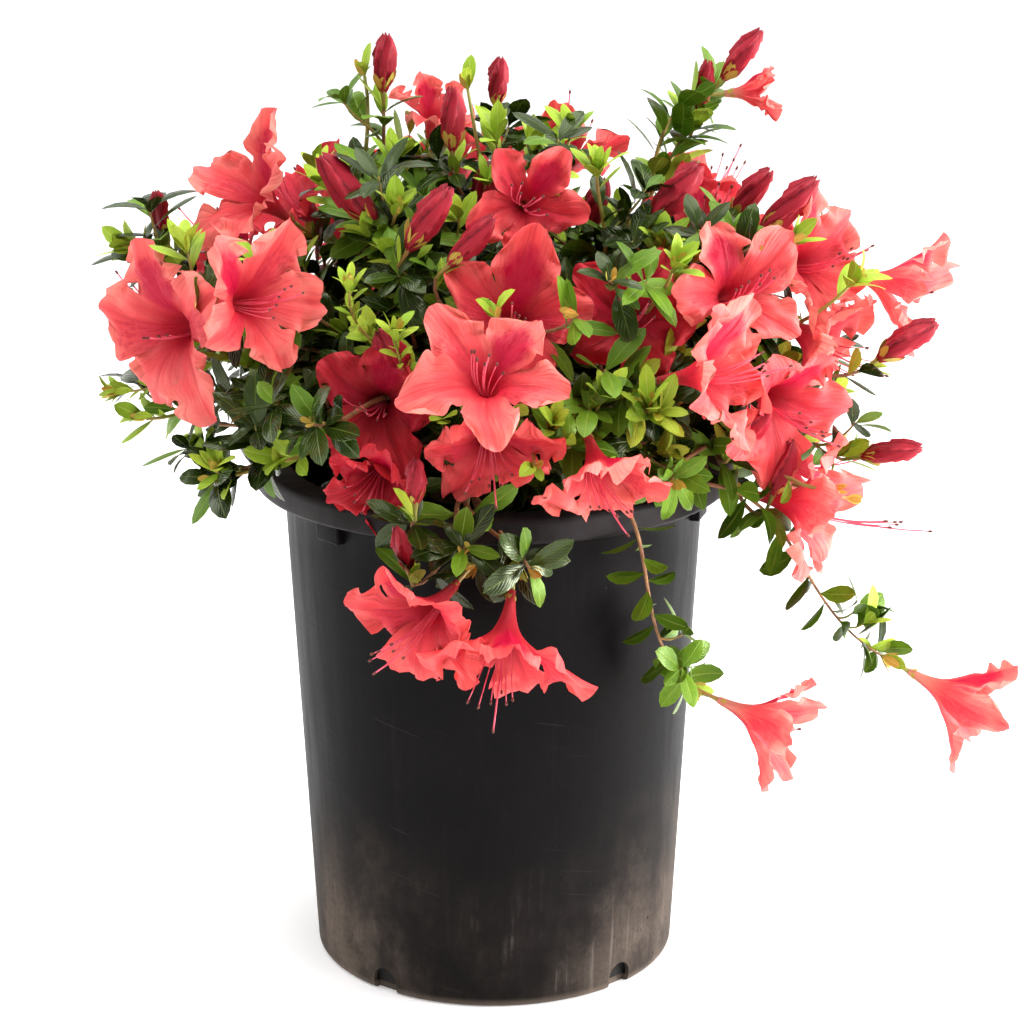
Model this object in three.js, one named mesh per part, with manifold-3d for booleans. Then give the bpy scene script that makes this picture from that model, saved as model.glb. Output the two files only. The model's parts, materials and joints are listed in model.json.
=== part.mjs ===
// A red azalea shrub in a black two-gallon nursery pot, in millimetres, +Z up.
// The origin is the middle of the pot's flat underside. -Y is the side the shrub shows best, +X its right.
// Short trunk, boughs, and one fused solid for each mass of twigs, leaves and blossom.
import * as THREE from "three";
import { mergeVertices } from "three/addons/utils/BufferGeometryUtils.js";
import Module from "manifold-3d";

const wasm = await Module();
wasm.setup();

// Driving dimensions
const CLEAR = 0.3; // gap between solids that touch in life
const POT = {
  height: 243,
  baseRadius: 85,
  shoulderRadius: 97, // body just under the rim
  rimRadius: 111,
  rimBand: 11.5, // height of the rim's outer band
  wall: 2.4,
  floor: 3,
  bevel: 3, // at the foot, the shoulder and the rim's edge
  turn: 4, // height in which the rim's inner side turns down into the wall
  sides: 40,
};
const LUG = { count: 6, firstBearing: -47.5, width: 15, height: 12, depth: 4, sunk: 1 };
const NOTCH = { width: 13, height: 12, pairMiddle: 3.5, halfAngle: 40, inwards: 10, outwards: 4 };
const SOIL = { top: 221, edgeDrop: 4, slopeDrop: 1, mound: 6 };
const TRUNK = { height: 29, flare: 16, waist: 9.5, crown: 11.5, lean: 4, sides: 10 };
const BOUGH = { foot: 4.2, tip: 2.1, branchFoot: 3, sides: 5, steps: 3 };
const STEM = { length: 16, radius: 2.6, taper: 0.8, sides: 5 };
const TWIG = { foot: 1.25, tip: 1.05, sides: 3, steps: 3 };
const LEAF = { length: 39, width: 20, thick: 1.4, foot: 2.6, belly: 0.5, droop: 0.1, along: 2 };
const BLOOM = { span: 71, depth: 31, thick: 1.5, throat: 0.34 };
// One petal's edge: share of the blossom's radius, turn in degrees, share of its depth
const PETAL_EDGE = [[0.36, -63, 0.6], [0.94, -46, 0.98], [0.99, -8, 0.88]];
const BUD = { length: 28, width: 11.5, sides: 5, rings: [[0.25, 0.8], [0.62, 1]] };
// What ends a twig: the length of its stalk, how far its foot lies behind its middle, and the
// leaves in the whorl below it
const HEADS = {
  bloom: { stalk: 14, behind: 24, whorl: 2 },
  bud: { stalk: 8, behind: 14, whorl: 3 },
  shoot: { stalk: 0, behind: 10, whorl: 4 },
};
// How leaves stand: share of a twig's length where they begin and that they cover, share between two
// leaves of a whorl, size of those on long and young twigs, and degrees that they open from the twig
const LEAVING = {
  from: 0.4,
  over: 0.5,
  whorlStep: 0.02,
  sizes: { trail: 0.72, young: 0.82 },
  open: { old: 56, young: 40, further: 22 },
};
const CROWN = { centre: [8, 0, 255], reach: [186, 160], above: 158, below: 42 };
// Share of the crown's reach at which heads grown by rule stand: least, and how much more at most
const SHELL = { bloom: [0.88, 0.1], other: [0.66, 0.32] };
const GOLDEN_ANGLE = 137.508;
const SHARED_SPACE = 0.1;
// Places that a mass's own sprays may take, fanned round the way of its hub, each facing a little up
const FAN = { places: 120, spread: 0.11, lift: 0.25 };
const TRIES = 32; // places tried for a head that the plan names
const BENDS = 8; // bends tried for a twig, and turns for a leaf
const CURVE = 0.38; // how far a limb keeps the way of each of its ends, as a share of its length
const SEEDS = { planned: 631, own: 1009, leaves: 7919 };

// The foliage masses. `hub` is where a mass's stem takes over from its bough, and `from` is the limb
// that the bough leaves, at `at` of its height or length. `sprays` are the blossoms, buds and shoots
// that the plant shows on its best side: kind, middle [x, y, z], and the bearing and rise it faces.
// Bearing 0 faces -Y and 90 faces +X. `more` sprays are grown by rule, `blooms` of them in flower.
const MASSES = [
  { name: "left", hub: [-70, -25, 300], from: "trunk", at: 0.95, more: 1, blooms: 0, sprays: [
    ["bloom", [-111, -22, 369], -38, 34], ["bloom", [-141, -64, 316], -22, -4],
    ["bloom", [-101, -102, 331], 42, 8], ["bud", [-150, -20, 362], -40, 72],
    ["shoot", [-170, -30, 348], -80, 20], ["shoot", [-182, -20, 277], -80, 10]] },
  { name: "left_low", hub: [-74, -52, 266], from: "left", at: 0.5, more: 2, blooms: 0, sprays: [
    ["shoot", [-125, -90, 256], -30, 10], ["shoot", [-98, -84, 290], -40, 35]] },
  { name: "front_left", hub: [-36, -60, 286], from: "front", at: 0.5, more: 1, blooms: 0, sprays: [
    ["shoot", [-62, -105, 338], -10, 70], ["shoot", [-40, -106, 330], 20, 60],
    ["bud", [-32, -130, 269], 10, 78], ["bloom", [-56, -94, 284], -10, 5],
    ["bloom", [-62, -112, 242], -20, -35]] },
  { name: "front", hub: [0, -54, 301], from: "trunk", at: 0.9, more: 1, blooms: 0, sprays: [
    ["bloom", [-2, -138, 311], 0, 14], ["bloom", [9, -86, 326], -2, 20],
    ["bud", [-9, -80, 358], 85, 45], ["bloom", [-1, -120, 277], 4, -34]] },
  { name: "front_hanging", hub: [-10, -78, 252], from: "front", at: 0.32, more: 0, blooms: 0, sprays: [
    ["bloom", [-34, -141, 204], -40, -55], ["bloom", [16, -150, 200], 30, -60],
    ["shoot", [-14, -142, 242], 0, 0]] },
  { name: "front_right", hub: [36, -68, 272], from: "front", at: 0.42, more: 2, blooms: 0, sprays: [
    ["bloom", [46, -128, 268], 20, -42], ["shoot", [26, -124, 292], 5, 40]] },
  { name: "right_front", hub: [46, -38, 294], from: "right", at: 0.3, more: 1, blooms: 0, sprays: [
    ["bloom", [96, -112, 309], 60, 15], ["bloom", [107, -66, 342], 20, 30],
    ["bloom", [60, -72, 322], 10, 25]] },
  { name: "right_high", hub: [72, -12, 322], from: "right", at: 0.55, more: 1, blooms: 0, sprays: [
    ["bloom", [143, -26, 343], 60, 20], ["bud", [132, -20, 364], 60, 50],
    ["bloom", [94, 2, 355], 20, 50]] },
  { name: "right", hub: [92, -20, 292], from: "trunk", at: 0.93, more: 1, blooms: 0, sprays: [
    ["bloom", [184, -10, 322], 72, -16], ["bloom", [150, -24, 298], 75, -20],
    ["bloom", [126, -74, 284], 40, -18], ["bud", [182, -46, 306], 84, 38]] },
  { name: "right_low", hub: [87, -44, 266], from: "right", at: 0.47, more: 1, blooms: 0, sprays: [
    ["bloom", [141, -62, 234], 72, -8], ["bud", [129, -64, 256], 60, 50],
    ["bud", [112, -80, 274], 40, 50], ["shoot", [174, -38, 230], 85, -5],
    ["shoot", [82, -104, 254], 25, -15]] },
  { name: "front_trail", hub: [40, -77, 254], from: "trunk", at: 0.5, more: 0, blooms: 0, trail: 4,
    sprays: [["bloom", [121, -103, 147], 70, -20], ["shoot", [104, -112, 138], 20, -70]] },
  { name: "right_trail", hub: [78, -66, 251], from: "right", at: 0.26, more: 0, blooms: 0, trail: 5,
    sprays: [["bloom", [211, -62, 143], 74, -26], ["shoot", [178, -66, 172], 60, 20]] },
  { name: "top_left", hub: [-42, 12, 330], from: "top", at: 0.5, more: 2, blooms: 1, sprays: [
    ["bud", [-50, 20, 420], 0, 86], ["bloom", [-28, 34, 397], 10, 40],
    ["bud", [-60, -50, 371], -90, 48], ["bloom", [-90, 20, 356], -70, 50]] },
  { name: "top", hub: [-1, -6, 336], from: "trunk", at: 0.98, more: 1, blooms: 0, sprays: [
    ["bud", [2, 14, 414], 20, 84], ["bud", [-18, -20, 400], 0, 84],
    ["bud", [-29, -72, 365], 90, 58], ["bloom", [15, -52, 370], 6, 14],
    ["shoot", [35, -16, 402], 0, 75]] },
  { name: "top_right_far", hub: [54, 16, 338], from: "top", at: 0.42, more: 1, blooms: 0, sprays: [
    ["bud", [113, 30, 421], 80, 52], ["bloom", [119, 29, 405], 90, 4],
    ["bud", [97, 30, 409], 60, 75]] },
  { name: "top_right", hub: [40, -26, 332], from: "top", at: 0.6, more: 1, blooms: 0, sprays: [
    ["bud", [78, -42, 369], 80, 50], ["shoot", [46, -48, 392], 10, 78]] },
  { name: "back_left", hub: [-76, 45, 300], from: "trunk", at: 0.9, more: 3, blooms: 2, sprays: [] },
  { name: "back_left_low", hub: [-46, 76, 268], from: "back", at: 0.4, more: 4, blooms: 2, sprays: [] },
  { name: "back", hub: [-2, 62, 312], from: "trunk", at: 0.96, more: 5, blooms: 2, sprays: [] },
  { name: "back_low", hub: [8, 86, 274], from: "back", at: 0.52, more: 4, blooms: 2, sprays: [] },
  { name: "back_right", hub: [64, 56, 306], from: "trunk", at: 0.88, more: 5, blooms: 2, sprays: [] },
  { name: "back_right_low", hub: [68, 74, 264], from: "back_right", at: 0.45, more: 4, blooms: 2,
    sprays: [] },
  { name: "far_left", hub: [-94, 20, 272], from: "back_left", at: 0.5, more: 3, blooms: 1, sprays: [] },
  { name: "far_right", hub: [102, 30, 286], from: "back_right", at: 0.5, more: 4, blooms: 1,
    sprays: [] },
];

const vec = (x, y, z) => new THREE.Vector3(x, y, z);
const radians = THREE.MathUtils.degToRad;
const UP = vec(0, 0, 1);

// A repeatable run of numbers from 0 to 1
function seeded(seed) {
  let state = seed;
  return () => {
    state = (state * 16807) % 2147483647;
    return state / 2147483647;
  };
}

// The direction of a bearing round the plant and a rise above the horizon, both in degrees
function facing(bearing, rise) {
  const flat = Math.cos(radians(rise));
  return vec(
    Math.sin(radians(bearing)) * flat,
    -Math.cos(radians(bearing)) * flat,
    Math.sin(radians(rise)),
  );
}

// Two directions square to `along`: one level, the other the upper side
function sidesOf(along) {
  const level = Math.abs(along.z) > 0.98 ? vec(1, 0, 0) : UP.clone();
  const right = vec(0, 0, 0).crossVectors(level, along).normalize();
  return { right, upper: vec(0, 0, 0).crossVectors(along, right).normalize() };
}

function solidOf(geometry) {
  const bare = geometry.clone();
  bare.deleteAttribute("normal");
  bare.deleteAttribute("uv");
  const merged = mergeVertices(bare, 1e-4);
  return new wasm.Manifold(
    new wasm.Mesh({
      numProp: 3,
      vertProperties: new Float32Array(merged.attributes.position.array),
      triVerts: new Uint32Array(merged.index.array),
    }),
  );
}

function geometryOf(solid) {
  const mesh = solid.getMesh();
  const places = new Float32Array(mesh.numVert * 3);
  for (let i = 0; i < mesh.numVert; i++) {
    const from = i * mesh.numProp;
    places.set(mesh.vertProperties.subarray(from, from + 3), i * 3);
  }
  const geometry = new THREE.BufferGeometry();
  geometry.setAttribute("position", new THREE.BufferAttribute(places, 3));
  geometry.setIndex(new THREE.BufferAttribute(new Uint32Array(mesh.triVerts), 1));
  geometry.computeVertexNormals();
  return geometry;
}

function solidFromFaces(points, faces) {
  return new wasm.Manifold(
    new wasm.Mesh({
      numProp: 3,
      vertProperties: new Float32Array(points.flatMap((p) => [p.x, p.y, p.z])),
      triVerts: new Uint32Array(faces.flat()),
    }),
  );
}

// Directions across a limb at each of its points, turned as little as can be from point to point.
// level makes its first end level.
function framesAlong(points, level = false) {
  let right = sidesOf(points[1].clone().sub(points[0]).normalize()).right;
  return points.map((point, i) => {
    const before = points[Math.max(0, i - 1)];
    const after = points[Math.min(points.length - 1, i + 1)];
    const along = level && i === 0 ? UP.clone() : after.clone().sub(before).normalize();
    right = right.clone().addScaledVector(along, -right.dot(along)).normalize();
    return { right, upper: vec(0, 0, 0).crossVectors(along, right) };
  });
}

// The way out from a limb's line, at a turn round it
function outwards({ right, upper }, turn) {
  return right.clone().multiplyScalar(Math.cos(turn)).addScaledVector(upper, Math.sin(turn));
}

// The rings of points round a limb, and the faces between them, with its first end closed
function limbWall(points, frames, radii, sides) {
  const places = [];
  const faces = [];
  frames.forEach((frame, i) => {
    for (let k = 0; k < sides; k++) {
      const out = outwards(frame, (2 * Math.PI * k) / sides);
      places.push(points[i].clone().addScaledVector(out, radii[i]));
    }
    if (i === 0) return;
    for (let k = 0; k < sides; k++) {
      const a = (i - 1) * sides + k;
      const b = (i - 1) * sides + ((k + 1) % sides);
      faces.push([a, b, b + sides], [a, b + sides, a + sides]);
    }
  });
  for (let k = 1; k < sides - 1; k++) faces.push([0, k + 1, k]);
  return { places, faces };
}

// A tapering limb along points, with flat ends square to its line
function limbSolid(points, radii, sides, level = false) {
  const { places, faces } = limbWall(points, framesAlong(points, level), radii, sides);
  const last = (points.length - 1) * sides;
  for (let k = 1; k < sides - 1; k++) faces.push([last, last + k, last + k + 1]);
  return solidFromFaces(places, faces);
}

// A three-sided twig whose far end widens into an open blossom: a funnel of five petals, as one
// thick sheet round a solid foot
function bloomingTwig(points, frames, radii, span) {
  const { places, faces } = limbWall(points, frames, radii, 3);
  const base = points.at(-1);
  const frame = frames.at(-1);
  const way = vec(0, 0, 0).crossVectors(frame.right, frame.upper);
  const half = span / 2;
  const deep = (BLOOM.depth * span) / BLOOM.span;
  const rim = [0, 1, 2, 3, 4].flatMap((k) =>
    PETAL_EDGE.map(([r, turn, z]) => [half * r, 72 * k + turn, deep * z]),
  );
  const at = ([r, turn, z], offset) =>
    base.clone().addScaledVector(outwards(frame, radians(turn)), r).addScaledVector(way, z + offset);
  const ring = places.length - 3;
  const back = places.length;
  const front = back + rim.length;
  const throat = front + rim.length;
  places.push(...rim.map((spot) => at(spot, -BLOOM.thick / 2)));
  places.push(...rim.map((spot) => at(spot, BLOOM.thick / 2)));
  places.push(base.clone().addScaledVector(way, deep * BLOOM.throat));
  rim.forEach((spot, i) => {
    const next = (i + 1) % rim.length;
    const side = Math.floor(i / 5);
    faces.push([throat, front + i, front + next], [ring + side, back + next, back + i]);
    faces.push([front + i, back + i, back + next], [front + i, back + next, front + next]);
    if (next % 5 === 0) faces.push([ring + side, ring + ((side + 1) % 3), back + next]);
  });
  return solidFromFaces(places, faces);
}

function taper(from, to, steps) {
  return Array.from({ length: steps + 1 }, (_, i) => from + ((to - from) * i) / steps);
}

// The points of a limb that leaves `start` one way and reaches `end` another
function bend(start, leave, end, arrive, steps) {
  const reach = start.distanceTo(end) * CURVE;
  const curve = new THREE.CubicBezierCurve3(
    start,
    start.clone().addScaledVector(leave, reach),
    end.clone().addScaledVector(arrive, -reach),
    end,
  );
  return curve.getPoints(steps);
}

function largestPiece(solid) {
  return solid.decompose().reduce((a, b) => (b.volume() > a.volume() ? b : a));
}

// The pot: one wall of revolution with a rolled rim, lugs under the rim and notches at the foot
function potShell() {
  const { height, baseRadius, shoulderRadius, rimRadius, rimBand, wall, floor, bevel, turn } = POT;
  const under = height - rimBand;
  const profile = [
    [0, 0],
    [baseRadius - bevel, 0],
    [baseRadius, bevel],
    [shoulderRadius, under - bevel],
    [rimRadius - bevel / 2, under],
    [rimRadius, under + bevel / 2],
    [rimRadius, height - bevel],
    [rimRadius - bevel, height],
    [shoulderRadius, height],
    [shoulderRadius - wall - bevel / 3, height - turn],
    [shoulderRadius - wall, under - turn],
    [baseRadius - wall, floor],
    [0, floor],
  ].map(([r, z]) => new THREE.Vector2(r, z));
  let shell = solidOf(new THREE.LatheGeometry(profile, POT.sides).rotateX(Math.PI / 2));
  for (let i = 0; i < LUG.count; i++) {
    const lug = new THREE.BoxGeometry(LUG.width, LUG.depth * 2, LUG.height + LUG.sunk);
    const bearing = radians(LUG.firstBearing + (360 * i) / LUG.count);
    lug.translate(0, LUG.sunk / 2 - shoulderRadius, under + (LUG.sunk - LUG.height) / 2);
    lug.rotateZ(bearing);
    shell = shell.add(solidOf(lug));
  }
  for (const middle of [NOTCH.pairMiddle, NOTCH.pairMiddle + 180]) {
    for (const side of [-1, 1]) {
      const arch = new THREE.Shape();
      const half = NOTCH.width / 2;
      arch.moveTo(-half, -bevel);
      arch.lineTo(half, -bevel);
      arch.lineTo(half, NOTCH.height - half);
      arch.absarc(0, NOTCH.height - half, half, 0, Math.PI, false);
      const cutter = new THREE.ExtrudeGeometry(arch, {
        depth: NOTCH.inwards + NOTCH.outwards,
        bevelEnabled: false,
        curveSegments: 4,
      });
      cutter.rotateX(Math.PI / 2).translate(0, NOTCH.inwards - baseRadius, 0);
      cutter.rotateZ(radians(middle + side * NOTCH.halfAngle));
      shell = shell.subtract(solidOf(cutter));
    }
  }
  return shell;
}

// The potting mix: fills the pot to just under the rim, with a low mound round the trunk
function soilBody() {
  const rise = POT.height - POT.rimBand - POT.turn - POT.floor;
  const widening = (POT.shoulderRadius - POT.baseRadius) / rise;
  const inner = (z) => POT.baseRadius - POT.wall + widening * (z - POT.floor) - CLEAR * 2;
  const bottom = POT.floor + CLEAR;
  const edge = SOIL.top - SOIL.edgeDrop;
  const profile = [
    [0, bottom],
    [inner(bottom), bottom],
    [inner(edge), edge],
    [TRUNK.flare * 3, SOIL.top - SOIL.slopeDrop],
    [TRUNK.flare + SOIL.mound, SOIL.top],
    [0, SOIL.top],
  ].map(([r, z]) => new THREE.Vector2(r, z));
  return solidOf(new THREE.LatheGeometry(profile, POT.sides).rotateX(Math.PI / 2));
}

// The trunk's line from the ground up, and its radius with the root flare and the knotted crown
const TRUNK_LINE = [0, 0.16, 0.4, 0.7, 1].map((t) =>
  vec(-TRUNK.lean * t * t, TRUNK.lean * 0.5 * t, SOIL.top + CLEAR + TRUNK.height * t),
);
const TRUNK_RADII = [TRUNK.flare, TRUNK.waist + 2, TRUNK.waist, TRUNK.crown, TRUNK.waist];

const limbs = new Map();

function addLimb(name, points, radii, sides, level = false) {
  let solid = limbSolid(points, radii, sides, level);
  for (const limb of limbs.values()) {
    if (solid.minGap(limb.solid, CLEAR) < CLEAR) solid = solid.subtract(limb.inflated);
  }
  solid = largestPiece(solid);
  const grown = radii.map((r) => r + CLEAR);
  const first = points[0].clone().sub(points[1]).setLength(CLEAR);
  const last = points.at(-1).clone().sub(points.at(-2)).setLength(CLEAR);
  const longer = [points[0].clone().add(first), ...points.slice(1, -1), points.at(-1).clone().add(last)];
  limbs.set(name, { solid, points, radii, inflated: limbSolid(longer, grown, sides, level) });
}

// The place and direction of a limb at a share of its length
function along(limb, share) {
  const at = share * (limb.points.length - 1);
  const low = Math.min(Math.floor(at), limb.points.length - 2);
  const a = limb.points[low];
  const b = limb.points[low + 1];
  return { place: a.clone().lerp(b, at - low), way: b.clone().sub(a).normalize() };
}

// One bough for each mass, from the trunk or the side of a parent bough to the mass's hub
function growBoughs() {
  addLimb("trunk", TRUNK_LINE, TRUNK_RADII, TRUNK.sides, true);
  const order = [...MASSES].sort((a, b) => (b.from === "trunk") - (a.from === "trunk"));
  for (const mass of order) {
    const hub = vec(...mass.hub);
    const fromTrunk = mass.from === "trunk";
    const { place, way } = along(limbs.get(mass.from), mass.at);
    const out = hub.clone().sub(place).normalize();
    const leave = fromTrunk ? out.clone().setZ(out.z * 0.6 + 0.1) : out.clone().add(way);
    const flat = vec(hub.x, hub.y, 0).normalize();
    const arrive = out.clone().addScaledVector(flat, 0.4).normalize();
    const points = bend(place, leave.normalize(), hub, arrive, BOUGH.steps);
    const foot = fromTrunk ? BOUGH.foot : BOUGH.branchFoot;
    addLimb(mass.name, points, taper(foot, BOUGH.tip, BOUGH.steps), BOUGH.sides);
  }
}

// A leaf of six faces: a flat underside with a ridge above it, its root sunk in the twig
function leafSolid(root, way, face, length, width) {
  const side = vec(0, 0, 0).crossVectors(way, face).normalize();
  const belly = root.clone().addScaledVector(way, length * LEAF.belly);
  const points = [
    root,
    belly.clone().addScaledVector(side, width / 2),
    root.clone().addScaledVector(way, length).addScaledVector(face, -length * LEAF.droop),
    belly.clone().addScaledVector(side, -width / 2),
    belly.clone().addScaledVector(face, LEAF.thick),
  ];
  return solidFromFaces(points, [[0, 1, 4], [1, 2, 4], [2, 3, 4], [3, 0, 4], [0, 3, 1], [3, 2, 1]]);
}

// A furled bud: a five-sided spindle, fattest above the middle
function budSolid(base, way, length, width) {
  const { right, upper } = sidesOf(way);
  const { sides, rings } = BUD;
  const points = [base];
  for (const [share, reach] of rings) {
    const middle = base.clone().addScaledVector(way, length * share);
    for (let k = 0; k < sides; k++) {
      const out = outwards({ right, upper }, (2 * Math.PI * k) / sides);
      points.push(middle.clone().addScaledVector(out, (width / 2) * reach));
    }
  }
  points.push(base.clone().addScaledVector(way, length));
  const tip = points.length - 1;
  const faces = [];
  for (let k = 0; k < sides; k++) {
    const a = 1 + k;
    const b = 1 + ((k + 1) % sides);
    faces.push([0, b, a], [a, b, b + sides], [a, b + sides, a + sides]);
    faces.push([a + sides, b + sides, tip]);
  }
  return solidFromFaces(points, faces);
}

// Everything grown so far, to keep each mass clear of the limbs and of the other masses
const grown = [];

function boxOf(solid) {
  const { min, max } = solid.boundingBox();
  return new THREE.Box3(vec(...min), vec(...max)).expandByScalar(CLEAR * 2);
}

function keep(solids, mass, head = false) {
  for (const solid of solids) grown.push({ solid, mass, head, box: boxOf(solid) });
}

// Whether a solid is clear of all that has grown, apart from what `mine` names
function isClear(solid, mine) {
  const box = boxOf(solid);
  return grown.every(
    (other) =>
      mine(other) ||
      !other.box.intersectsBox(box) ||
      solid.minGap(other.solid, CLEAR * 2) >= CLEAR * 1.5,
  );
}

// How far the crown reaches from its middle in a direction
function crownReach(way) {
  const tall = way.z > 0 ? CROWN.above : CROWN.below;
  return 1 / Math.hypot(way.x / CROWN.reach[0], way.y / CROWN.reach[1], way.z / tall);
}

// A place in the crown's outer shell for the i-th of a mass's own sprays, fanned round the way that
// its hub lies in. Nothing comes back where another mass's hub lies much nearer to that way.
function placeByRule(mass, i, kind, random) {
  const core = vec(...CROWN.centre);
  const wayTo = (other) => vec(...other.hub).sub(core).normalize();
  const { right, upper } = sidesOf(wayTo(mass));
  const turn = radians(GOLDEN_ANGLE * i);
  const spread = FAN.spread * Math.sqrt(i + 0.5) * (0.9 + 0.2 * random());
  const way = wayTo(mass)
    .addScaledVector(right, spread * Math.cos(turn))
    .addScaledVector(upper, spread * Math.sin(turn))
    .normalize();
  const [least, more] = SHELL[kind === "bloom" ? "bloom" : "other"];
  const depth = least + more * random();
  const nearest = Math.max(...MASSES.map((other) => wayTo(other).dot(way)));
  if (wayTo(mass).dot(way) < nearest - SHARED_SPACE) return null;
  const place = core.clone().addScaledVector(way, crownReach(way) * depth);
  return { place, way: way.clone().addScaledVector(UP, FAN.lift).normalize() };
}

// Where a spray's twig meets its stalk and where its head stands, a little off the wanted place from
// the second attempt on
function headPlace({ kind, place, way }, attempt, random) {
  const { stalk, behind } = HEADS[kind];
  const facingWay = way.clone().add(shake(random, attempt * 0.03)).normalize();
  const base = place.clone().addScaledVector(facingWay, -behind).add(shake(random, attempt));
  return { way: facingWay, base, node: base.clone().addScaledVector(facingWay, -stalk) };
}

// The line of a twig from a mass's stem to a head, bent more freely from one attempt to the next
function twigLine(stem, share, head, trailing, attempt, random) {
  const start = stem.start.clone().addScaledVector(stem.way, 2 + share * (STEM.length - 3));
  const straight = head.node.clone().sub(start).normalize();
  const lift = vec(0, 0, trailing ? 0.5 : 0.1);
  const loose = shake(random, attempt * 0.25);
  const leave = straight.clone().addScaledVector(stem.way, 0.6).add(lift).add(loose);
  const arrive = head.way.clone().addScaledVector(straight, 0.8).add(shake(random, attempt * 0.2));
  const steps = trailing ? TWIG.steps * 2 : TWIG.steps;
  return bend(start, leave.normalize(), head.node, arrive.normalize(), steps);
}

// A spray: a twig and its blossom or bud, tried in other places and bends until they are clear
function growSpray(mass, stem, share, wanted, tries, random) {
  const { kind } = wanted;
  const span = BLOOM.span * (0.92 + 0.14 * random());
  for (let attempt = 0; attempt < tries; attempt++) {
    const head = headPlace(wanted, attempt, random);
    const into = head.base.clone().addScaledVector(head.way, kind === "bud" ? 5 : 1);
    const bud = kind === "bud" ? budSolid(head.base, head.way, BUD.length, BUD.width) : null;
    if (bud && !isClear(bud, () => false)) continue;
    for (let bent = 0; bent < BENDS; bent++) {
      const points = twigLine(stem, share, head, mass.trail > 0, bent, random);
      const line = [...points, into];
      const frames = framesAlong(line);
      const radii = [...taper(TWIG.foot, TWIG.tip, points.length - 1), TWIG.tip];
      const twig = limbSolid(line, radii, TWIG.sides);
      const ends = [line, frames, radii].map((list) => list.slice(-2));
      const top = kind === "bloom" ? bloomingTwig(...ends, span) : bud;
      if (top && !isClear(top, () => false)) continue;
      if (!isClear(twig, (other) => other.mass === mass && !other.head)) continue;
      if (top) keep([top], mass, true);
      keep([twig], mass);
      const parts = kind === "bloom" ? [bloomingTwig(line, frames, radii, span)] : [twig];
      return { kind, way: head.way, mass, points, parts: bud ? [...parts, bud] : parts };
    }
  }
  return null;
}

// Every spray: first those that the plan names, then each mass's own by rule
function growSprays(stems) {
  const sprays = [];
  MASSES.forEach((mass, index) => {
    mass.sprays.forEach(([kind, place, bearing, rise], i) => {
      const wanted = { kind, place: vec(...place), way: facing(bearing, rise) };
      const share = (i + 1) / (mass.sprays.length + mass.more);
      const random = seeded(SEEDS.planned + 61 * index + 7 * i);
      sprays.push(growSpray(mass, stems.get(mass), share, wanted, TRIES, random));
    });
  });
  MASSES.forEach((mass, index) => {
    const random = seeded(SEEDS.own * (index + 1));
    let blooms = mass.blooms;
    for (let i = 0, made = 0; made < mass.more && i < FAN.places; i++) {
      const kinds = blooms > 0 ? ["bloom", "shoot"] : [i % 3 === 0 ? "bud" : "shoot"];
      const share = (mass.sprays.length + made + 1) / (mass.sprays.length + mass.more);
      for (const kind of kinds) {
        const spot = placeByRule(mass, i, kind, random);
        const wanted = { kind, ...spot };
        const spray = spot && growSpray(mass, stems.get(mass), share, wanted, 1, random);
        if (!spray) continue;
        sprays.push(spray);
        made += 1;
        if (kind === "bloom") blooms -= 1;
        break;
      }
    }
  });
  return sprays.filter((spray) => spray !== null);
}

function shake(random, size) {
  return vec(random() - 0.5, random() - 0.5, random() - 0.5).multiplyScalar(size);
}

// The leaves of a spray: some along its outer half and a close whorl at its end, each standing on
// one of the twig's flat sides. A leaf that would touch anything but its own twig turns a little,
// or is left out.
function growLeaves(spray, random, owns) {
  const { kind, points, way, mass, parts } = spray;
  const frames = framesAlong(points);
  const last = points.length - 1;
  const count = mass.trail ? mass.trail : LEAF.along;
  const { whorl } = HEADS[kind];
  for (let i = 0; i < count + whorl; i++) {
    const inWhorl = i >= count;
    const share = inWhorl
      ? 1 - LEAVING.whorlStep * (i - count)
      : LEAVING.from + (LEAVING.over * (i + random() * 0.4)) / count;
    const at = share * last - 0.01;
    const low = Math.floor(at);
    const line = points[low].clone().lerp(points[low + 1], at - low);
    const twigWay = points[low + 1].clone().sub(points[low]).normalize();
    const ahead = inWhorl ? way : twigWay;
    const young = kind === "shoot" && inWhorl;
    const size = mass.trail ? LEAVING.sizes.trail : young ? LEAVING.sizes.young : 1;
    const length = LEAF.length * size * (0.85 + 0.3 * random());
    const width = (LEAF.width / LEAF.length) * length;
    for (let attempt = 0; attempt < BENDS; attempt++) {
      const side = 60 + 120 * (i + attempt) + 24 * (random() - 0.5);
      const open = radians(LEAVING.open[young ? "young" : "old"] + LEAVING.open.further * random());
      const out = outwards(frames[low], radians(side));
      out.addScaledVector(ahead, -out.dot(ahead)).normalize();
      const leafWay = ahead.clone().multiplyScalar(Math.cos(open)).addScaledVector(out, Math.sin(open));
      const face = ahead.clone().multiplyScalar(Math.sin(open)).addScaledVector(out, -Math.cos(open));
      const beyond = line.clone().addScaledVector(leafWay, LEAF.foot);
      const blade = leafSolid(beyond, leafWay, face, length - LEAF.foot, width);
      const root = line.clone().addScaledVector(leafWay, -TWIG.tip * 0.6);
      const leaf = leafSolid(root, leafWay, face, length, width);
      const tip = line.clone().addScaledVector(leafWay, length);
      const clear = isClear(blade, () => false) && isClear(leaf, (other) => other.mass === mass);
      if (clear && owns(tip, mass)) {
        keep([blade], mass);
        parts.push(leaf);
        break;
      }
    }
  }
}

// The mass whose twigs pass nearest to a place
function ownerOf(sprays) {
  const marks = sprays.flatMap(({ mass, points }) =>
    points.slice(1).map((place) => ({ mass, place })),
  );
  return (place, mass) => {
    let best = { far: Infinity };
    for (const mark of marks) {
      const far = mark.place.distanceToSquared(place);
      if (far < best.far) best = { far, mass: mark.mass };
    }
    return best.mass === mass;
  };
}

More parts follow.
